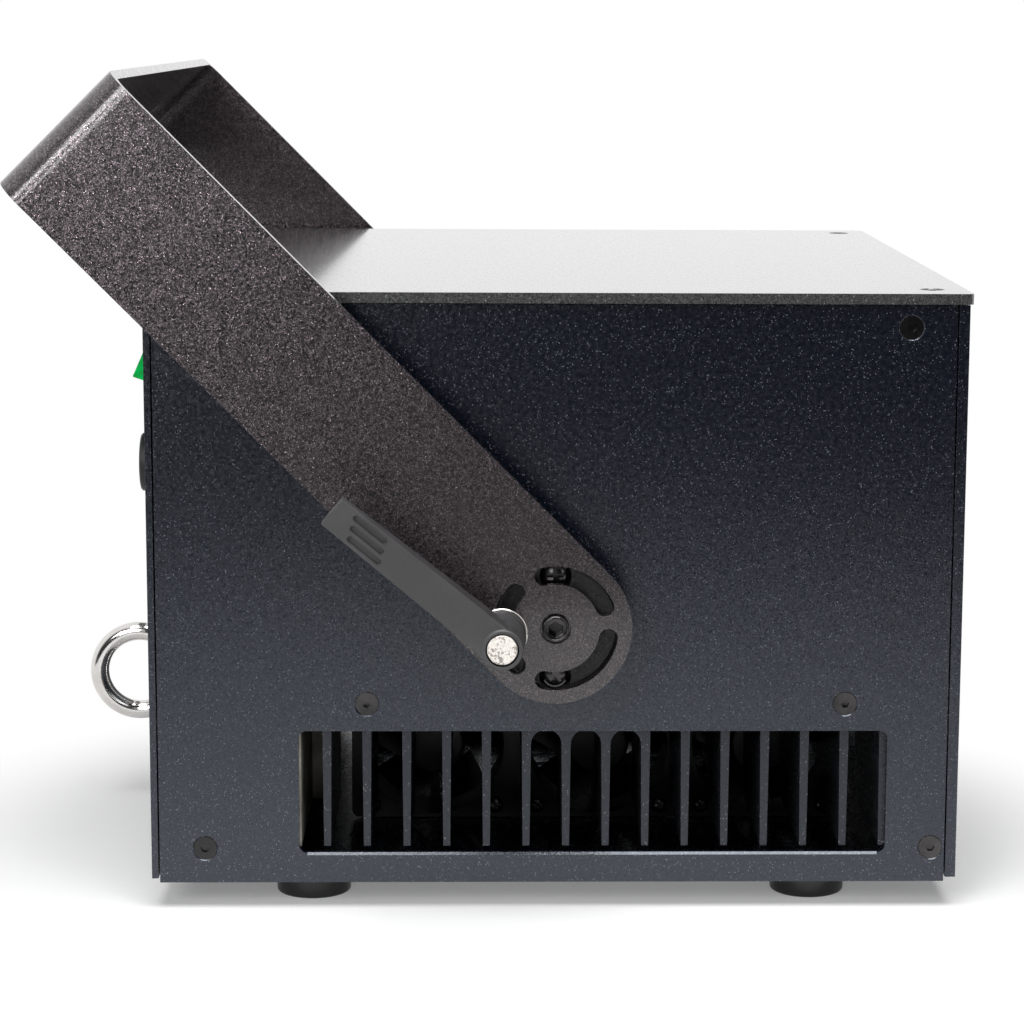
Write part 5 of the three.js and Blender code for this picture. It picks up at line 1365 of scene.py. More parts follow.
@dataclass
class Cooling:
    """Heat sinks behind the vent windows, and the fans behind them."""

    finishes: Finishes
    fin_count: int = 15
    fin_pitch: float = 15.2
    fin_first: float = -87.1
    root: float = 3.63
    tip: float = 2.78
    tip_height: float = 13.2
    root_height: float = 61.4
    root_fillet: float = 2.0
    round_top: float = 59.0
    sink_top: float = 64.0
    edge_break: float = 0.25
    cheek: Pair = (-100.0, -97.0)
    cheek_gap: float = 0.3
    outer_y: float = -166.4
    inner_y: float = -92.4
    plate_y: Pair = (-89.4, -87.9)
    plate_low: float = 3.9
    frame_back_y: float = -62.9
    fan_height: float = 33.9
    fan_pitch: float = 67.0
    fan_middle: float = 19.3
    fan_size: float = 60.0
    fan_corner: float = 3.0
    fan_opening: float = 28.5
    hub_radius: float = 12.5
    rotor_y: Pair = (-86.4, -67.4)
    cup_depth: float = 3.0
    strut_half: float = 2.0
    screw_offset: float = 25.0
    screw_turn: float = 17.0
    blades: int = 5
    blade_chord: float = 22.0
    blade_root: float = 11.5
    blade_reach: float = 14.2
    blade_wall: float = 1.1
    blade_lean: float = 44.0
    blade_twist: float = 12.0
    blade_camber: float = 2.4
    blade_sweep: float = 4.0

    def build(self) -> None:
        """Builds and dresses the cooling parts."""
        self._sinks()
        self._cheeks()
        self._banks()
        self._rotors()
        self._screws()

    def _gap(self, index: int) -> list[Pair]:
        """The outline of the gap on the front side of a fin.

        Args:
            index: The fin's number, from the rear.

        Returns:
            The outline's points.
        """
        left = self.fin_first + index * self.fin_pitch
        right = left + self.fin_pitch
        root, tip = self.root / 2, self.tip / 2
        points = [(left + tip, self.tip_height)]
        if abs(index - (self.fin_count - 3) / 2) <= 1:
            radius = self.fin_pitch / 2 - root
            points += arc(((left + right) / 2, self.round_top - radius), radius, 180, 0, 20)
        else:
            fillet = self.root_fillet
            high = self.root_height - fillet
            points += arc((left + root + fillet, high), fillet, 180, 90, 5)
            points += arc((right - root - fillet, high), fillet, 90, 0, 5)
        return points + [(right - tip, self.tip_height)]

    def _sinks(self) -> None:
        """The finned heat sinks, each one extrusion."""
        root, tip = self.root / 2, self.tip / 2
        last = self.fin_first + (self.fin_count - 1) * self.fin_pitch
        outline = [
            (self.cheek[0], self.sink_top), (self.cheek[0], self.root_height),
            (self.fin_first - root, self.root_height), (self.fin_first - tip, self.tip_height),
        ]
        for index in range(self.fin_count - 1):
            outline += self._gap(index)
        outline += [(last + tip, self.tip_height), (last + root, self.sink_top)]
        sink = Piece.traced("fins_right", Axis.Y, outline, self.outer_y, self.inner_y)
        sink.soften(self.edge_break, 2, 40.0).dress_both(self.finishes.fin, "heat_sink_{}")

    def _cheeks(self) -> None:
        """The bare end wall of each heat sink, with its return behind the first fin."""
        outer, inner = self.cheek
        low, high = self.tip_height, self.root_height
        far, right = self.inner_y - (inner - outer), self.fin_first - self.root / 2 - self.cheek_gap
        cheek = Piece.block("sink_wall_right", (outer, self.outer_y, low),
                            (inner, self.inner_y, high))
        cheek.unite(Piece.block("return", (inner - CUT_OVERRUN, far, low),
                                (right, self.inner_y, high)))
        cheek.soften(self.edge_break, 2, 40.0).dress_both(self.finishes.bare_wall, "heat_sink_{}")

    def _centres(self) -> list[float]:
        """The fans' middles along X."""
        return [self.fan_middle + i * self.fan_pitch for i in (-1, 0, 1)]

    def _banks(self) -> None:
        """The fan frames with their round openings, struts and motor cups."""
        low, high = self.plate_y
        half, back = self.fan_pitch * 1.5, self.frame_back_y
        outline = rounded((self.fan_middle - half, self.plate_low),
                          (self.fan_middle + half, self.sink_top), self.fan_corner)
        bank = Piece.traced("fan_frames_right", Axis.Y, outline, low, high)
        for x in self._centres():
            place = (x, self.fan_height)
            frame_outline = centred(place, self.fan_size, self.fan_size, self.fan_corner)
            bank.unite(Piece.traced("frame", Axis.Y, frame_outline, high - 0.8, back))
            bank.carve(Piece.bar("opening", Axis.Y, self.fan_opening, low - CUT_OVERRUN,
                                 back + CUT_OVERRUN, place, 64))
        for x in self._centres():
            bank.unite(*self._stator(x))
        bank.soften(0.3, 2, 35.0).dress_both(self.finishes.black_plastic, "fan_bank_{}")

    def _stator(self, x: float) -> list[Piece]:
        """The motor cup of one fan and the four struts that hold it.

        Args:
            x: The fan's middle along X.

        Returns:
            The cup and the struts.
        """
        back, z = self.frame_back_y, self.fan_height
        near, reach, half = back - self.cup_depth, self.fan_opening + 0.4, self.strut_half
        return [
            Piece.bar("cup", Axis.Y, self.hub_radius, near, back, (x, z), 48),
            Piece.block("strut", (x - reach, near + 0.1, z - half),
                        (x + reach, back - 0.1, z + half)),
            Piece.block("strut", (x - half, near + 0.2, z - reach),
                        (x + half, back - 0.2, z + reach)),
        ]

    def _blade(self) -> Piece:
        """One swept blade, standing up from its hub at the origin.

        Returns:
            The blade.
        """
        bpy.ops.object.select_all(action="DESELECT")
        bpy.ops.mesh.primitive_grid_add(x_subdivisions=8, y_subdivisions=6, size=1.0)
        blade = Piece.taken("blade")
        for vertex in blade.obj.data.vertices:
            chord = vertex.co.x * self.blade_chord
            reach = vertex.co.y + 0.5
            lean = math.radians(self.blade_lean - self.blade_twist * reach)
            camber = self.blade_camber * (1.0 - (2.0 * vertex.co.x) ** 2)
            sweep = self.blade_sweep * (reach - 0.5)
            along = chord * math.sin(lean) * 0.8 - camber
            radius = self.blade_root + self.blade_reach * reach
            vertex.co = placed((chord * math.cos(lean) + sweep, along, radius))
        return blade.modified("SOLIDIFY", thickness=self.blade_wall * MM, offset=0.0).smooth(40.0)

    def _rotors(self) -> None:
        """The rotors, each a hub with its blades."""
        front, back = self.rotor_y
        radius = self.hub_radius
        profile = [(0.0, front), (radius - 1.6, front), (radius - 0.5, front + 0.4),
                   (radius, front + 1.5), (radius, back), (0.0, back)]
        hub = Piece.spun("rotor master", Axis.Y, profile, CENTRE, 48).smooth(40.0)
        blade, middle = self._blade(), shift(y=(front + back) / 2)
        turns = [middle @ turned(360.0 * i / self.blades, Axis.Y) for i in range(self.blades)]
        hub = Piece.joined("rotor master", [hub] + [blade.copy("blade copy", t) for t in turns])
        bpy.data.objects.remove(blade.obj)
        for number, x in enumerate(self._centres(), start=1):
            for side in Side:
                name = f"rotor_{number}_{side.word}"
                rotor = hub.copy(name, shift(x, z=self.fan_height))
                if side is Side.LEFT:
                    twin = rotor.mirrored(name + "_twin")
                    bpy.data.objects.remove(rotor.obj)
                    twin.obj.name = name
                    rotor = twin
                rotor.dress(self.finishes.black_plastic, f"fan_rotor_{number}_{side.word}",
                            body=f"{side.word}_fan_{number}")
        bpy.data.objects.remove(hub.obj)

    def _screws(self) -> None:
        """The screws that hold each fan to its plate."""
        screw = Fastener(
            Head.PAN_CROSS, self.finishes.black_steel, head_radius=3.2, head_height=1.9,
            shank_radius=1.5, length=4.0, recess=1.6, recess_depth=1.0, sides=20,
        )
        corners = ((-1, -1), (1, -1), (-1, 1), (1, 1))
        for side in Side:
            y = side.value * -self.plate_y[0]
            for number, middle in enumerate(self._centres(), start=1):
                for corner, (a, b) in enumerate(corners, start=1):
                    x = middle + a * self.screw_offset
                    z = self.fan_height + b * self.screw_offset
                    name = f"fan_screw_{number}_{corner}_{side.word}"
                    screw.place(name, (x, y, z), side.outward, self.screw_turn * corner)
        screw.clear()


@dataclass
class Yoke:
    """The bracket, its hubs and the clamp levers."""

    finishes: Finishes
    lean: float = 44.8
    inner_y: float = 185.9
    outer_y: float = 189.9
    half_width: float = 28.55
    edge_break: float = 0.45
    reach: float = 259.0
    bend: float = 11.0
    slot_radius: float = 20.0
    slot_half: float = 3.5
    slot_ends: tuple[Pair, ...] = ((-21.0, 58.0), (93.0, 179.0), (-147.0, -55.0))
    bore_radius: float = 3.3
    sink_radius: float = 5.8
    sink_depth: float = 2.4
    rig_holes: tuple[Pair, ...] = ((6.5, 0.0), (5.5, -118.0), (5.5, 118.0))
    rig_depth: float = 6.0
    hub_y: tuple[float, ...] = (-170.3, -179.3, -185.6)
    hub_radii: tuple[float, ...] = (26.0, 22.6, 21.9)
    hub_hole: float = 2.8
    hub_screw_radius: float = 19.0
    hub_screw_turns: Pair = (90.0, 270.0)
    hub_screw_spin: Pair = (0.0, 38.0)
    hub_screw_seat: float = 181.4
    hub_recess: Pair = (6.0, 9.3)
    cap_y: Pair = (-191.8, -187.8)
    cap_radius: float = 5.0
    socket: Pair = (3.0, 5.2)
    shank_radius: float = 3.0
    clamp: Pair = (-20.624, 101.357)
    washer_y: Pair = (-190.2, -191.8)
    washer_radius: float = 9.6
    stud_y: Pair = (-220.7, -218.2)
    stud_radius: float = 5.55
    lever_y: float = -192.1
    lever_angle: float = 40.4
    lever_length: float = 80.0
    lever_radius: float = 8.95
    lever_top: float = 28.6
    arm_top: Pair = (27.6, 35.1)
    arm_drop: Pair = (13.0, 6.5)
    arm_half: Pair = (6.85, 5.95)
    arm_blank: Pair = (12.0, 40.0)
    head_room: Pair = (6.05, 2.8)
    head_overrun: float = 7.0
    groove_start: float = 56.0
    groove_length: float = 15.0
    groove_half: float = 1.0
    groove_rim: float = 0.35
    groove_z: tuple[float, ...] = (-1.5, -0.25, 2.0)
    groove_pitch: float = 3.6
    groove_step: float = 1.6

    def build(self) -> None:
        """Builds and dresses the yoke."""
        self._bracket()
        self._hubs()
        self._hub_screws()
        self._pivot_screws()
        self._washers()
        self._levers()
        self._studs()

    def _strip(self) -> Piece:
        """The bent flat bar, upright about the pivot at the housing origin.

        Returns:
            The bar.
        """
        outer, inner, bend = self.outer_y, self.inner_y, self.bend
        half = self.half_width + CUT_OVERRUN
        corner = self.reach - bend
        tight = bend - (outer - inner)
        outline: list[Pair] = [(-outer, -half), (-inner, -half)]
        outline += arc((tight - inner, corner), tight, 180, 90, 14)
        outline += arc((inner - tight, corner), tight, 90, 0, 14)
        outline += [(inner, -half), (outer, -half)]
        outline += arc((outer - bend, corner), bend, 0, 90, 14)
        outline += arc((bend - outer, corner), bend, 90, 180, 14)
        return Piece.traced("yoke_bar", Axis.X, outline, -half, half)

    def _slot_cutter(self, start: float, end: float) -> Piece:
        """A cutter for one arc slot through both arms.

        Args:
            start: The slot's first angle in degrees.
            end: Its last angle.

        Returns:
            The cutter.
        """
        across = self.outer_y + CUT_OVERRUN
        radius, half = self.slot_radius, self.slot_half
        first, last = ring(CENTRE, radius, (start, end))
        outline = arc(CENTRE, radius + half, start, end, 24)
        outline += arc(last, half, end, end + 180, 10)[1:-1]
        outline += arc(CENTRE, radius - half, end, start, 24)
        outline += arc(first, half, start + 180, start + 360, 10)[1:-1]
        return Piece.traced("slot", Axis.Y, outline, -across, across)

    def _bracket(self) -> None:
        """The bracket with its slots and holes, leant back."""
        half, across = self.half_width, self.outer_y + CUT_OVERRUN
        floor, high = self.outer_y - self.sink_depth, self.reach + CUT_OVERRUN
        side = arc(CENTRE, half, 180, 360, 56) + [(half, high), (-half, high)]
        bracket = self._strip().keep_common(Piece.traced("side", Axis.Y, side, -across, across))
        bracket.carve(*[self._slot_cutter(*ends) for ends in self.slot_ends])
        bracket.carve(
            Piece.bar("hole", Axis.Y, self.bore_radius, -across, across, CENTRE, 32),
            Piece.bar("sink", Axis.Y, self.sink_radius, floor, across, CENTRE),
            Piece.bar("sink", Axis.Y, self.sink_radius, -across, -floor, CENTRE),
        )
        low = self.reach - self.rig_depth
        for radius, y in self.rig_holes:
            bracket.carve(Piece.bar("rig hole", Axis.Z, radius, low, high, (0.0, y)))
        leant = shift(PIVOT[0], z=PIVOT[1]) @ turned(-self.lean, Axis.Y)
        bracket.soften(self.edge_break, 3, 32.0).moved(leant)
        bracket.dress(self.finishes.bracket, "bracket", body="yoke")

    def _hub_screw_places(self) -> list[Pair]:
        """The places of the two screws in each hub."""
        return ring(PIVOT, self.hub_screw_radius, self.hub_screw_turns)

    def _hubs(self) -> None:
        """The stepped hub discs."""
        base, step, face = self.hub_y
        wide, narrow, flat = self.hub_radii
        profile = [
            (0.0, base), (wide, base), (wide, step + 0.6), (wide - 0.6, step), (narrow, step),
            (narrow, face + 0.7), (flat, face), (0.0, face),
        ]
        hub = Piece.spun("hub_right", Axis.Y, profile, PIVOT, 96)
        near, far = face - CUT_OVERRUN, base + CUT_OVERRUN
        radius, depth = self.hub_recess
        for place in self._hub_screw_places():
            hub.carve(Piece.bar("hole", Axis.Y, self.hub_hole, near, far, place, 24),
                      Piece.bar("recess", Axis.Y, radius, near, face + depth, place, 40))
        for place in (PIVOT, self.clamp):
            hub.carve(Piece.bar("bore", Axis.Y, self.bore_radius, near, far, place, 32))
        hub.soften(0.2, 2, 35.0).dress_both(self.finishes.hub, "hub_disc_{}")

    def _hub_screws(self) -> None:
        """The cross-head screws in the hubs' recesses."""
        screw = Fastener(
            Head.PAN_CROSS, self.finishes.black_steel, head_radius=4.9, head_height=3.1,
            shank_radius=2.4, length=5.6, recess=3.1, recess_depth=2.0, sides=48,
        )
        for side in Side:
            y = side.value * self.hub_screw_seat
            places = zip(self._hub_screw_places(), self.hub_screw_spin)
            for number, ((x, z), turn) in enumerate(places, start=1):
                screw.place(f"hub_screw_{number}_{side.word}", (x, y, z), side.outward, turn)
        screw.clear()

    def _pivot_screws(self) -> None:
        """The socket cap screws that the bracket turns on."""
        front, back = self.cap_y
        radius, shank, base = self.cap_radius, self.shank_radius, self.hub_y[0]
        profile = [
            (0.0, front + 0.3), (3.9, front + 0.3), (4.1, front), (4.6, front + 0.1),
            (radius, front + 0.6), (radius, back), (shank, back), (shank, base), (0.0, base),
        ]
        screw = Piece.spun("pivot_bolt_right", Axis.Y, profile, PIVOT, 48)
        socket, depth = self.socket
        near, far = front - CUT_OVERRUN, front + depth
        screw.carve(Piece.bar("socket", Axis.Y, socket, near, far, PIVOT, 6))
        screw.soften(0.12, 2, 35.0).dress_both(self.finishes.black_steel, "pivot_screw_{}")

    def _washers(self) -> None:
        """The plain washers under the levers."""
        inner, outer = self.washer_y
        wide, bore = self.washer_radius, self.bore_radius
        profile = [(bore, inner), (wide - 0.3, inner), (wide, inner - 0.3), (wide, outer + 0.3),
                   (wide - 0.3, outer), (bore, outer)]
        washer = Piece.spun("washer_right", Axis.Y, profile, self.clamp).smooth(30.0)
        washer.dress_both(self.finishes.washer_steel, "clamp_washer_{}", "{}_clamp")

    def _studs(self) -> None:
        """The clamp studs with their speckled ends."""
        top, head_low = self.stud_y
        radius, shank, base = self.stud_radius, self.shank_radius, self.hub_y[0]
        profile = [
            (0.0, top), (radius - 0.45, top), (radius - 0.1, top + 0.25), (radius, top + 0.6),
            (radius, head_low), (shank, head_low), (shank, base), (0.0, base),
        ]
        stud = Piece.spun("stud_right", Axis.Y, profile, self.clamp).smooth(35.0)
        stud.dress_both(self.finishes.speckled_steel, "clamp_stud_{}", "{}_clamp")

    def _arm(self) -> Piece:
        """The lever's tapered arm along X, with its finger grooves.

        Returns:
            The arm.
        """
        length, near = self.lever_length, self.lever_radius
        (low_top, high_top), (thick, thin) = self.arm_top, self.arm_drop
        wide, narrow = self.arm_half
        side = [
            (0.0, low_top - thick), (near, low_top - thick), (length, high_top - thin),
            (length, high_top), (near, low_top), (0.0, low_top),
        ]
        plan = [(0.0, -wide), (length, -narrow), (length, narrow), (0.0, wide)]
        across, high = self.arm_blank
        arm = Piece.traced("arm", Axis.Y, side, -across, across)
        arm.keep_common(Piece.traced("plan", Axis.Z, plan, -CUT_OVERRUN, high))
        arm.soften(self.edge_break, 3, 32.0)
        slope = math.atan2(high_top - low_top, length - near)
        for row in (-1, 0, 1):
            start = self.groove_start - self.groove_step * row
            height = low_top + (start - near) * math.tan(slope)
            cutter = self._groove().moved(
                shift(start, row * self.groove_pitch, height)
                @ Matrix.Rotation(-slope, 4, "Y")
            )
            arm.carve(cutter)
        return arm

    def _groove(self) -> Piece:
        """A cutter for one finger groove with its broken rim.

        Returns:
            The cutter.
        """
        long, half, edge = self.groove_length, self.groove_half, self.groove_rim
        floor, rim_floor, top = self.groove_z
        groove = rounded((0.0, -half), (long, half), half - ROUND_END_FLAT)
        rim = rounded((-edge, -half - edge), (long + edge, half + edge),
                      half + edge - ROUND_END_FLAT)
        cutter = Piece.traced("groove", Axis.Z, groove, floor, top)
        return cutter.unite(Piece.traced("rim", Axis.Z, rim, rim_floor, top))

    def _levers(self) -> None:
        """The clamp levers with their hubs."""
        top, radius = self.lever_top, self.lever_radius
        profile = [
            CENTRE, (8.5, 0.0), (radius, 0.5), (radius, 6.6), (8.6, 7.0), (7.7, top - 1.2),
            (7.5, top - 0.5), (7.0, top - 0.1), (6.7, top), (0.0, top),
        ]
        room, depth = self.head_room
        lever = Piece.spun("lever_right", Axis.Z, profile, CENTRE).unite(self._arm())
        lever.carve(
            Piece.bar("bore", Axis.Z, self.bore_radius, -CUT_OVERRUN, top + CUT_OVERRUN,
                      CENTRE, 32),
            Piece.bar("head room", Axis.Z, room, top - depth, top + self.head_overrun,
                      CENTRE, 56),
        )
        seat = shift(self.clamp[0], self.lever_y, self.clamp[1])
        lever.smooth(32.0).moved(
            seat @ turned(90.0, Axis.X) @ turned(180.0 - self.lever_angle, Axis.Z)
        )
        lever.dress_both(self.finishes.lever_plastic, "clamp_lever_{}", "{}_clamp")


@dataclass
class RearFittings:
    """Switch, connectors, key and safety eye on the rear panel."""

    finishes: Finishes
    rear_x: float = -154.0
    inner_x: float = -149.2
    flange_x: float = -151.2
    flange_size: tuple[float, ...] = (26.0, 31.0, 3.0)
    mains: tuple[Pair, ...] = ((-141.0, 158.3), (-100.0, 158.3))
    mains_x: Pair = (-4.3, 22.0)
    mains_radii: Pair = (11.1, 8.6)
    mains_depth: float = 15.0
    mains_pins: float = 4.6
    mains_pin: Point = (7.0, 0.6, 1.7)
    key_ways: tuple[float, ...] = (90.0, 205.0, 335.0)
    key_way: Pair = (1.3, 7.0)
    sockets: tuple[Pair, ...] = ((-45.0, 158.3), (5.0, 158.3))
    socket_x: Pair = (-2.3, 19.0)
    socket_radii: Pair = (11.5, 8.8)
    socket_depth: float = 13.0
    socket_pins: float = 4.7
    socket_screws: tuple[Pair, ...] = ((-9.5, 12.0), (9.5, -12.0))
    screw_hole: Pair = (1.7, 1.4)
    screw_turn: float = 25.0
    pin: Pair = (1.2, 10.5)
    insert: Pair = (7.4, 11.0)
    sleeve: Point = (1.4, 12.0, 3.0)
    contact_seat: float = 0.3
    laser_ports: tuple[Pair, ...] = ((-82.0, 202.0), (-20.0, 202.0))
    port_size: Pair = (35.6, 5.8)
    port_taper: float = 1.2
    port_depth: float = 6.0
    contact_radius: float = 0.55
    contact_pitch: float = 2.7
    contact_rows: tuple[tuple[float, int], ...] = ((1.35, 13), (-1.35, 12))
    data: Pair = (34.0, 202.0)
    wires: int = 8
    wire_pitch: float = 1.1
    wire_x: Pair = (2.0, 7.0)
    wire_half: float = 0.25
    wire_z: Pair = (-2.6, -2.0)
    key_place: Pair = (112.0, 202.0)
    key_length: float = 16.0
    key_radius: float = 5.6
    key_half: Pair = (1.0, 3.5)
    bow_radius: float = 10.0
    key_hole: Pair = (2.5, 5.0)
    eye_height: float = 45.7
    eye_x: float = -177.2
    eye_radius: float = 17.45
    eye_bar: float = 3.96

    def build(self) -> None:
        """Builds and dresses the rear fittings."""
        plastic, green = self.finishes.black_plastic, self.finishes.green_plastic
        bezel = Piece.copied("switch_bezel", "switch_housing").soften(0.4, 3, 35.0)
        bezel.dress(plastic, "switch_housing")
        rocker = Piece.copied("rocker_cap", "switch_rocker").soften(0.5, 4, 20.0)
        rocker.dress(green, "switch_rocker", body="rocker")
        for word, place in zip(("inlet", "outlet"), self.mains):
            self._mains(word, place)
        self._sockets()
        self._ports()
        self._wires()
        self._key()
        self._eye()

    def _mains(self, word: str, place: Pair) -> None:
        """One round mains connector with its contacts.

        Args:
            word: Inlet or outlet.
            place: Its middle.
        """
        face, back = (self.rear_x + x for x in self.mains_x)
        floor = face + self.mains_depth
        outer, bore = self.mains_radii
        profile = [
            (0.0, back), (outer, back), (outer, face + 0.6), (outer - 0.5, face),
            (bore + 0.4, face), (bore, face + 0.4), (bore, floor), (0.0, floor),
        ]
        body = Piece.spun(f"mains_{word}_body", Axis.X, profile, place, 72)
        outline = centred(place, *self.flange_size)
        flange = Piece.traced("flange", Axis.X, outline, self.flange_x, self.inner_x)
        near, far = self.flange_x - CUT_OVERRUN, self.inner_x + CUT_OVERRUN
        flange.carve(Piece.bar("bore", Axis.X, bore, near, far, place))
        radius, depth = self.key_way
        near, far = face - CUT_OVERRUN, face + depth
        for spot in ring(place, bore, self.key_ways):
            body.carve(Piece.bar("key way", Axis.X, radius, near, far, spot, 16))
        body.unite(flange).smooth(30.0).dress(self.finishes.black_plastic, f"mains_{word}")
        blades = []
        long, thin, wide = self.mains_pin
        for y, z in ring(place, self.mains_pins, CONTACT_ANGLES):
            low, high = (floor - long, y - thin, z - wide), (floor + 0.4, y + thin, z + wide)
            blades.append(Piece.block("blade", low, high).soften(0.3, 2))
        Piece.joined(f"mains_{word}_contacts", blades).dress(self.finishes.gold)

    def _sockets(self) -> None:
        """The signal sockets and the screws in their flanges."""
        face, back = (self.rear_x + x for x in self.socket_x)
        near, (outer, bore) = face - CUT_OVERRUN, self.socket_radii
        hole, depth = self.screw_hole
        screw = Fastener(
            Head.PAN_CROSS, self.finishes.bright_steel, head_radius=2.6, head_height=1.2,
            shank_radius=1.2, length=1.0, recess=1.4, recess_depth=0.8, sides=24,
        )
        places = zip(self.sockets, (self._pins, self._sleeves))
        for number, (place, add_contacts) in enumerate(places, start=1):
            outline = centred(place, *self.flange_size)
            flange = Piece.traced(f"signal_flange_{number}", Axis.X, outline, face,
                                  self.rear_x - self.contact_seat)
            flange.unite(Piece.bar("barrel", Axis.X, outer, face, back, place, 64))
            flange.carve(Piece.bar("bore", Axis.X, bore, near, face + self.socket_depth, place, 64))
            corners = [(place[0] + y, place[1] + z) for y, z in self.socket_screws]
            for corner in corners:
                flange.carve(Piece.bar("hole", Axis.X, hole, near, face + depth, corner, 24))
            flange.soften(0.3, 2, 35.0)
            flange.dress(self.finishes.black_plastic, f"signal_socket_{number}")
            add_contacts(place)
            for index, (y, z) in enumerate(corners, start=1):
                name = f"signal_screw_{number}_{index}"
                screw.place(name, (face, y, z), (-1.0, 0.0, 0.0), self.screw_turn)
        screw.clear()

    @property
    def _socket_floor(self) -> float:
        """The floor of the signal sockets."""
        return self.rear_x + self.socket_x[0] + self.socket_depth

    def _pins(self, place: Pair) -> None:
        """The contacts inside the first signal socket.

        Args:
            place: The socket's middle.
        """
        radius, length = self.pin
        near, far = self._socket_floor - length, self._socket_floor + self.contact_seat
        pins = [
            Piece.bar("pin", Axis.X, radius, near, far, spot, 20).soften(0.5, 3)
            for spot in ring(place, self.socket_pins, CONTACT_ANGLES)
        ]
        Piece.joined("signal_pins", pins).dress(self.finishes.gold)

    def _sleeves(self, place: Pair) -> None:
        """The insert with three sleeves inside the second signal socket.

        Args:
            place: The socket's middle.
        """
        floor, (radius, length) = self._socket_floor, self.insert
        near, far = floor - length, floor + self.contact_seat
        insert = Piece.bar("signal_insert", Axis.X, radius, near, far, place, 56)
        radius, start, end = self.sleeve
        for spot in ring(place, self.socket_pins, CONTACT_ANGLES):
            insert.carve(Piece.bar("sleeve", Axis.X, radius, floor - start, floor - end, spot, 24))
        insert.soften(0.25, 2, 35.0).dress(self.finishes.black_plastic)

    def _ports(self) -> None:
        """The control board's ports, with a row of 13 and one of 12 contacts in each insert."""
        board = Piece.copied("port_board", "control_board").soften(0.2, 2, 40.0)
        board.dress(self.finishes.bright_steel, "control_board")
        x, pitch = self.rear_x - self.port_depth, self.contact_pitch
        across, up = self.port_size[0] / 2, self.port_size[1] / 2
        for number, (y, z) in enumerate(self.laser_ports, start=1):
            taper = self.port_taper
            outline = [(y - across + taper, z - up), (y + across - taper, z - up),
                       (y + across, z + up), (y - across, z + up)]
            insert = Piece.traced(f"port_insert_{number}", Axis.X, outline, x - 0.25, x + 0.5)
            holes = [
                Piece.bar("contact", Axis.X, self.contact_radius, x - CUT_OVERRUN, x + 0.2,
                          (y + (i - (count - 1) / 2) * pitch, z + rise), 8)
                for rise, count in self.contact_rows
                for i in range(count)
            ]
            insert.carve(Piece.joined("contacts", holes)).soften(0.12, 1, 50.0, False)
            insert.dress(self.finishes.black_plastic)

    def _wires(self) -> None:
        """The spring contacts in the data port."""
        y, z = self.data
        start, length = self.wire_x
        x, (low_z, high_z), half = self.rear_x + start, self.wire_z, self.wire_half
        wires = []
        for i in range(self.wires):
            middle = y + (i - (self.wires - 1) / 2) * self.wire_pitch
            low, high = (x, middle - half, z + low_z), (x + length, middle + half, z + high_z)
            wires.append(Piece.block("wire", low, high).soften(0.1, 1))
        Piece.joined("data_contacts", wires).dress(self.finishes.gold)

    def _key(self) -> None:
        """The key switch and the key in it."""
        steel = self.finishes.bright_steel
        face, seat, length = self.rear_x - 2.8, self.rear_x - 0.3, self.key_length
        back, floor, bow_x = self.rear_x + 20.0, face + length + 0.3, face - length
        profile = [
            (0.0, back), (9.0, back), (9.0, seat), (11.0, seat), (11.0, face + 0.8),
            (10.2, face), (6.3, face), (5.9, face + 0.4), (5.9, floor), (0.0, floor),
        ]
        barrel = Piece.spun("key_bezel", Axis.X, profile, self.key_place).smooth(30.0)
        barrel.dress(steel, "key_switch_barrel")
        y, z = self.key_place
        (thin, tall), (hole, offset) = self.key_half, self.key_hole
        plug = Piece.bar("key_in_plug", Axis.X, self.key_radius, face, face + length,
                         self.key_place)
        plug.unite(
            Piece.block("blade", (bow_x, y - thin, z - tall), (face + 1.0, y + thin, z + tall)),
            Piece.bar("bow", Axis.Y, self.bow_radius, y - 0.99, y + 0.99, (bow_x, z), 56),
        )
        plug.carve(
            Piece.bar("ring hole", Axis.Y, hole, y - 3.0, y + 3.0, (bow_x - offset, z), 32),
            Piece.block("step", (face - 6.0, y - 2.0, z + 2.4), (face - 0.01, y + 2.0, z + 5.0)),
        )
        plug.soften(0.25, 2, 35.0).dress(steel, "key", body="turning_key")

    def _eye(self) -> None:
        """The safety eye bolt with its collar, washer and nut."""
        bpy.ops.object.select_all(action="DESELECT")
        bpy.ops.mesh.primitive_torus_add(
            major_radius=self.eye_radius * MM,
            minor_radius=self.eye_bar * MM,
            major_segments=112,
            minor_segments=36,
            location=placed((self.eye_x, 0.0, self.eye_height)),
            rotation=(math.pi / 2, 0.0, 0.0),
        )
        eye = Piece.taken("eye_bolt")
        place = (0.0, self.eye_height)
        seat = self.rear_x - 0.3
        profile = [
            (0.0, seat), (7.5, seat), (7.5, seat - 2.2), (7.0, seat - 3.0), (5.4, seat - 3.2),
            (4.4, seat - 4.4), (0.0, seat - 4.4),
        ]
        eye.unite(
            Piece.spun("collar", Axis.X, profile, place),
            Piece.bar("shank", Axis.X, 4.0, seat - 0.5, self.rear_x + 15.0, place, 40),
            Piece.bar("washer", Axis.X, 12.0, self.flange_x, self.inner_x, place, 56),
            Piece.bar("nut", Axis.X, 7.5, self.inner_x - 0.3, self.inner_x + 6.5, place, 6),
        )
        eye.smooth(32.0).dress(self.finishes.polished_steel, "safety_eye")


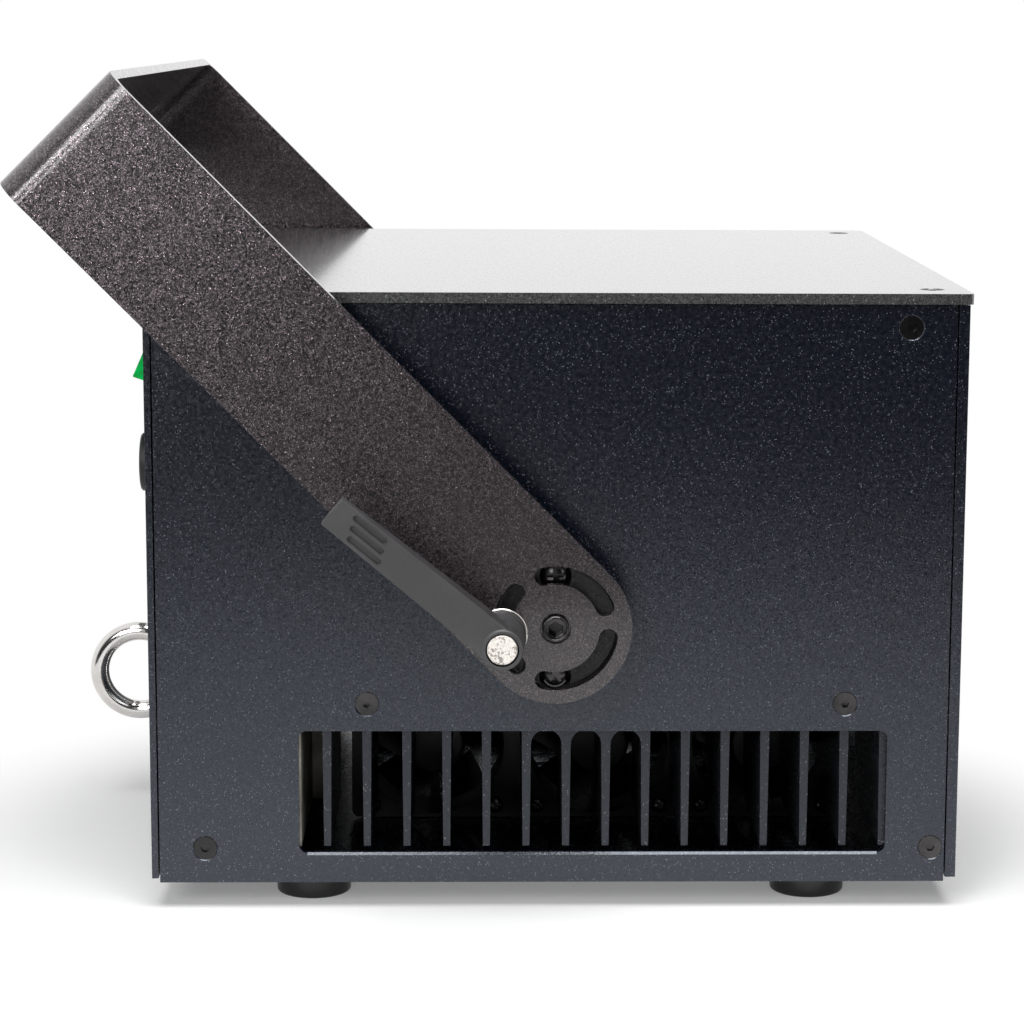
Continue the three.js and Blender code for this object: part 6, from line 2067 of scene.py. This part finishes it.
@dataclass
class Aperture:
    """The window, the sliding mask and its thumb screws."""

    finishes: Finishes
    mask_x: Pair = (154.3, 156.3)
    mask_low: Pair = (-49.0, 51.5)
    mask_high: Pair = (49.0, 96.5)
    mask_corner: float = 4.0
    slot_y: float = 43.0
    slot_half: float = 2.3
    slot_z: Pair = (56.9, 91.5)
    screw_z: float = 89.2
    head_x: Pair = (156.6, 164.6)
    head_radius: float = 6.5
    shank_radius: float = 2.0
    shank_end: float = 144.0
    flutes: int = 16
    flute_radius: float = 0.7
    flute_offset: float = 0.25

    def build(self) -> None:
        """Builds and dresses the aperture parts."""
        self.finishes.glass.keep("aperture_window")
        outline = rounded(self.mask_low, self.mask_high, self.mask_corner, 8)
        mask = Piece.traced("mask_plate", Axis.X, outline, *self.mask_x)
        start, end = self.mask_x[0] - CUT_OVERRUN, self.mask_x[1] + CUT_OVERRUN
        (low, high), half = self.slot_z, self.slot_half
        for y in (-self.slot_y, self.slot_y):
            outline = rounded((y - half, low), (y + half, high), half - ROUND_END_FLAT, 8)
            mask.carve(Piece.traced("slot", Axis.X, outline, start, end))
        mask.soften(0.3, 2, 35.0).dress(self.finishes.hub, "aperture_mask", body="mask")
        self._thumb_screws()

    def _thumb_screws(self) -> None:
        """The fluted thumb screws."""
        (back, front), wide = self.head_x, self.head_radius
        shank, end = self.shank_radius, self.shank_end
        place = (-self.slot_y, self.screw_z)
        profile = [
            (0.0, end), (shank - 0.3, end), (shank, end + 0.4), (shank, back), (wide - 0.4, back),
            (wide, back + 0.4), (wide, front - 1.0), (wide - 0.3, front - 0.3),
            (wide - 1.0, front), (3.2, front), (2.6, front - 0.5), (0.0, front - 0.5),
        ]
        screw = Piece.spun("thumb_knob_right", Axis.X, profile, place)
        start, end = back - CUT_OVERRUN, front + CUT_OVERRUN
        angles = [360.0 * i / self.flutes for i in range(self.flutes)]
        for spot in ring(place, wide + self.flute_offset, angles):
            screw.carve(Piece.bar("flute", Axis.X, self.flute_radius, start, end, spot, 12))
        screw.smooth(35.0)
        screw.dress_both(self.finishes.black_steel, "thumb_screw_{}", "{}_thumb_screw")


@dataclass
class Inside:
    """What shows through the window and the vents, kept from the CAD."""

    finishes: Finishes

    def build(self) -> None:
        """Gives the inner nodes their finishes."""
        colours = ("red", "green", "blue")
        self.finishes.panel.keep("base_tray")
        self.finishes.aluminium.keep(
            "front_top_rail", "rear_top_rail", "optical_bench",
            *(f"laser_module_{colour}" for colour in colours), "scanner_block", "power_supply",
        )
        self.finishes.mirror.keep(
            *(f"combiner_mirror_{colour}" for colour in colours),
            *(f"scan_mirror_{way}" for way in ("horizontal", "vertical")),
        )
        self.finishes.board.keep("scanner_driver_board", "laser_driver_board")


@dataclass
class Studio:
    """Camera, lamps, floor and background."""

    camera_place: Point = (-26.18, -1272.73, 325.18)
    yaw: float = 1.513
    pitch: float = 9.402
    roll: float = 0.317
    lens: float = 104.61
    sensor: float = 36.0
    shift: Pair = (-0.0514, 0.0031)
    ambient: float = 0.08
    room_edge: Pair = (0.15, 0.65)
    room_light: float = 0.03
    floor_radius: float = 0.8
    floor_middle: Point = (0.0, -0.1, 0.0)
    floor_fade: Pair = (0.18, 0.3)
    floor_colour: float = 0.88
    floor_lift: float = 0.2
    lamp_aim: Point = (0.0, 0.0, 0.12)

    def build(self) -> None:
        """Sets up the studio."""
        self._camera()
        self._world()
        self._floor()
        self._lamps()
        bpy.context.scene.view_settings.view_transform = "Standard"

    def _camera(self) -> None:
        """The camera at the photograph's place and angle."""
        data = bpy.data.cameras.new("camera")
        data.lens, data.sensor_width = self.lens, self.sensor
        data.shift_x, data.shift_y = self.shift
        camera = bpy.data.objects.new("camera", data)
        bpy.context.scene.collection.objects.link(camera)
        yaw, pitch = math.radians(self.yaw), math.radians(self.pitch)
        level = math.cos(pitch)
        look = Vector((math.sin(yaw) * level, math.cos(yaw) * level, -math.sin(pitch)))
        across = Vector((math.cos(yaw), -math.sin(yaw), 0.0))
        facing = Matrix((across, across.cross(look), -look)).transposed().to_4x4()
        place = Matrix.Translation(placed(self.camera_place))
        camera.matrix_world = place @ facing @ turned(self.roll, Axis.Z)
        bpy.context.scene.camera = camera

    def _world(self) -> None:
        """White behind the object and at its sides, with a dark room in front of it."""
        world = bpy.data.worlds.new("studio")
        bpy.context.scene.world = world
        recipe = Recipe(world)
        feeds = {0: recipe.coordinates["Generated"], 1: (0.0, -1.0, 0.0)}
        ahead = recipe.node("VectorMath", feeds, operation="DOT_PRODUCT").outputs["Value"]
        room = recipe.span(ahead, *self.room_edge, 1.0, self.room_light)
        glossy = recipe.mix(recipe.seen("Glossy"), self.ambient, room)
        light = recipe.mix(recipe.seen("Camera", "Transmission"), glossy, 1.0)
        white = {"Color": (1.0, 1.0, 1.0), "Strength": light}
        recipe.end(recipe.node("Background", white), "OutputWorld")

    def _floor(self) -> None:
        """A pale floor that keeps the shadow and turns white further out."""
        bpy.ops.object.select_all(action="DESELECT")
        bpy.ops.mesh.primitive_circle_add(vertices=128, radius=self.floor_radius,
                                          fill_type="NGON")
        floor = bpy.context.active_object
        floor.name = "studio_floor"
        recipe = Recipe(bpy.data.materials.new("Studio floor"))
        feeds = {0: recipe.place, 1: self.floor_middle}
        offset = recipe.node("VectorMath", feeds, operation="SUBTRACT").outputs["Vector"]
        reach = recipe.node("VectorMath", {0: offset}, operation="LENGTH").outputs["Value"]
        far = recipe.span(reach, *self.floor_fade)
        seen = recipe.seen("Camera", "Glossy", "Transmission")
        pale = recipe.node("BsdfDiffuse", {"Color": (self.floor_colour,) * 3})
        lift = recipe.node("Emission", {"Strength": recipe.mix(seen, 0.0, self.floor_lift)})
        near = recipe.node("AddShader", {0: pale.outputs[0], 1: lift.outputs[0]})
        white = recipe.node("Emission", {})
        share = recipe.math("MULTIPLY", far, seen)
        surface = {0: share, 1: near.outputs[0], 2: white.outputs[0]}
        recipe.end(recipe.node("MixShader", surface))
        floor.data.materials.append(recipe.owner)
        floor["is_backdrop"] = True

    def _lamp(self, name: str, at: Point, size: Pair, power: float) -> None:
        """Hangs a rectangular lamp that faces the object.

        Args:
            name: The lamp's name.
            at: Its place in metres.
            size: Its width and height in metres.
            power: Its power in watts.
        """
        data = bpy.data.lights.new(name, "AREA")
        data.shape = "RECTANGLE"
        data.size, data.size_y = size
        data.energy = power
        lamp = bpy.data.objects.new(name, data)
        bpy.context.scene.collection.objects.link(lamp)
        lamp.location = at
        aim = Vector(self.lamp_aim) - Vector(at)
        lamp.rotation_euler = aim.to_track_quat("-Z", "Y").to_euler()

    def _lamps(self) -> None:
        """Two upright strips beside the camera, a soft box above the left one and one overhead."""
        self._lamp("key", (-0.62, -2.3, 0.85), (0.4, 1.3), 9.0)
        self._lamp("fill", (1.54, -2.45, 0.85), (0.35, 1.3), 3.5)
        self._lamp("rim", (-1.05, -2.0, 1.2), (0.8, 0.8), 15.0)
        self._lamp("overhead", (0.0, -0.7, 1.65), (1.4, 1.0), 27.0)


def main() -> None:
    """Builds every sub-assembly, then the studio."""
    logging.basicConfig(level=logging.INFO, format="%(name)s: %(message)s")
    finishes = Finishes()
    for kind in (Housing, Feet, Cooling, Yoke, RearFittings, Aperture, Inside):
        LOG.info("building %s", kind.__name__)
        kind(finishes).build()
    LOG.info("building Studio")
    Studio().build()
    bpy.ops.object.select_all(action="DESELECT")
    boxes = {"cad": CAD_BOX, "visual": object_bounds()}
    {name: [list(corner) for corner in box] for name, box in boxes.items()}


if __name__ == "__main__":
    main()
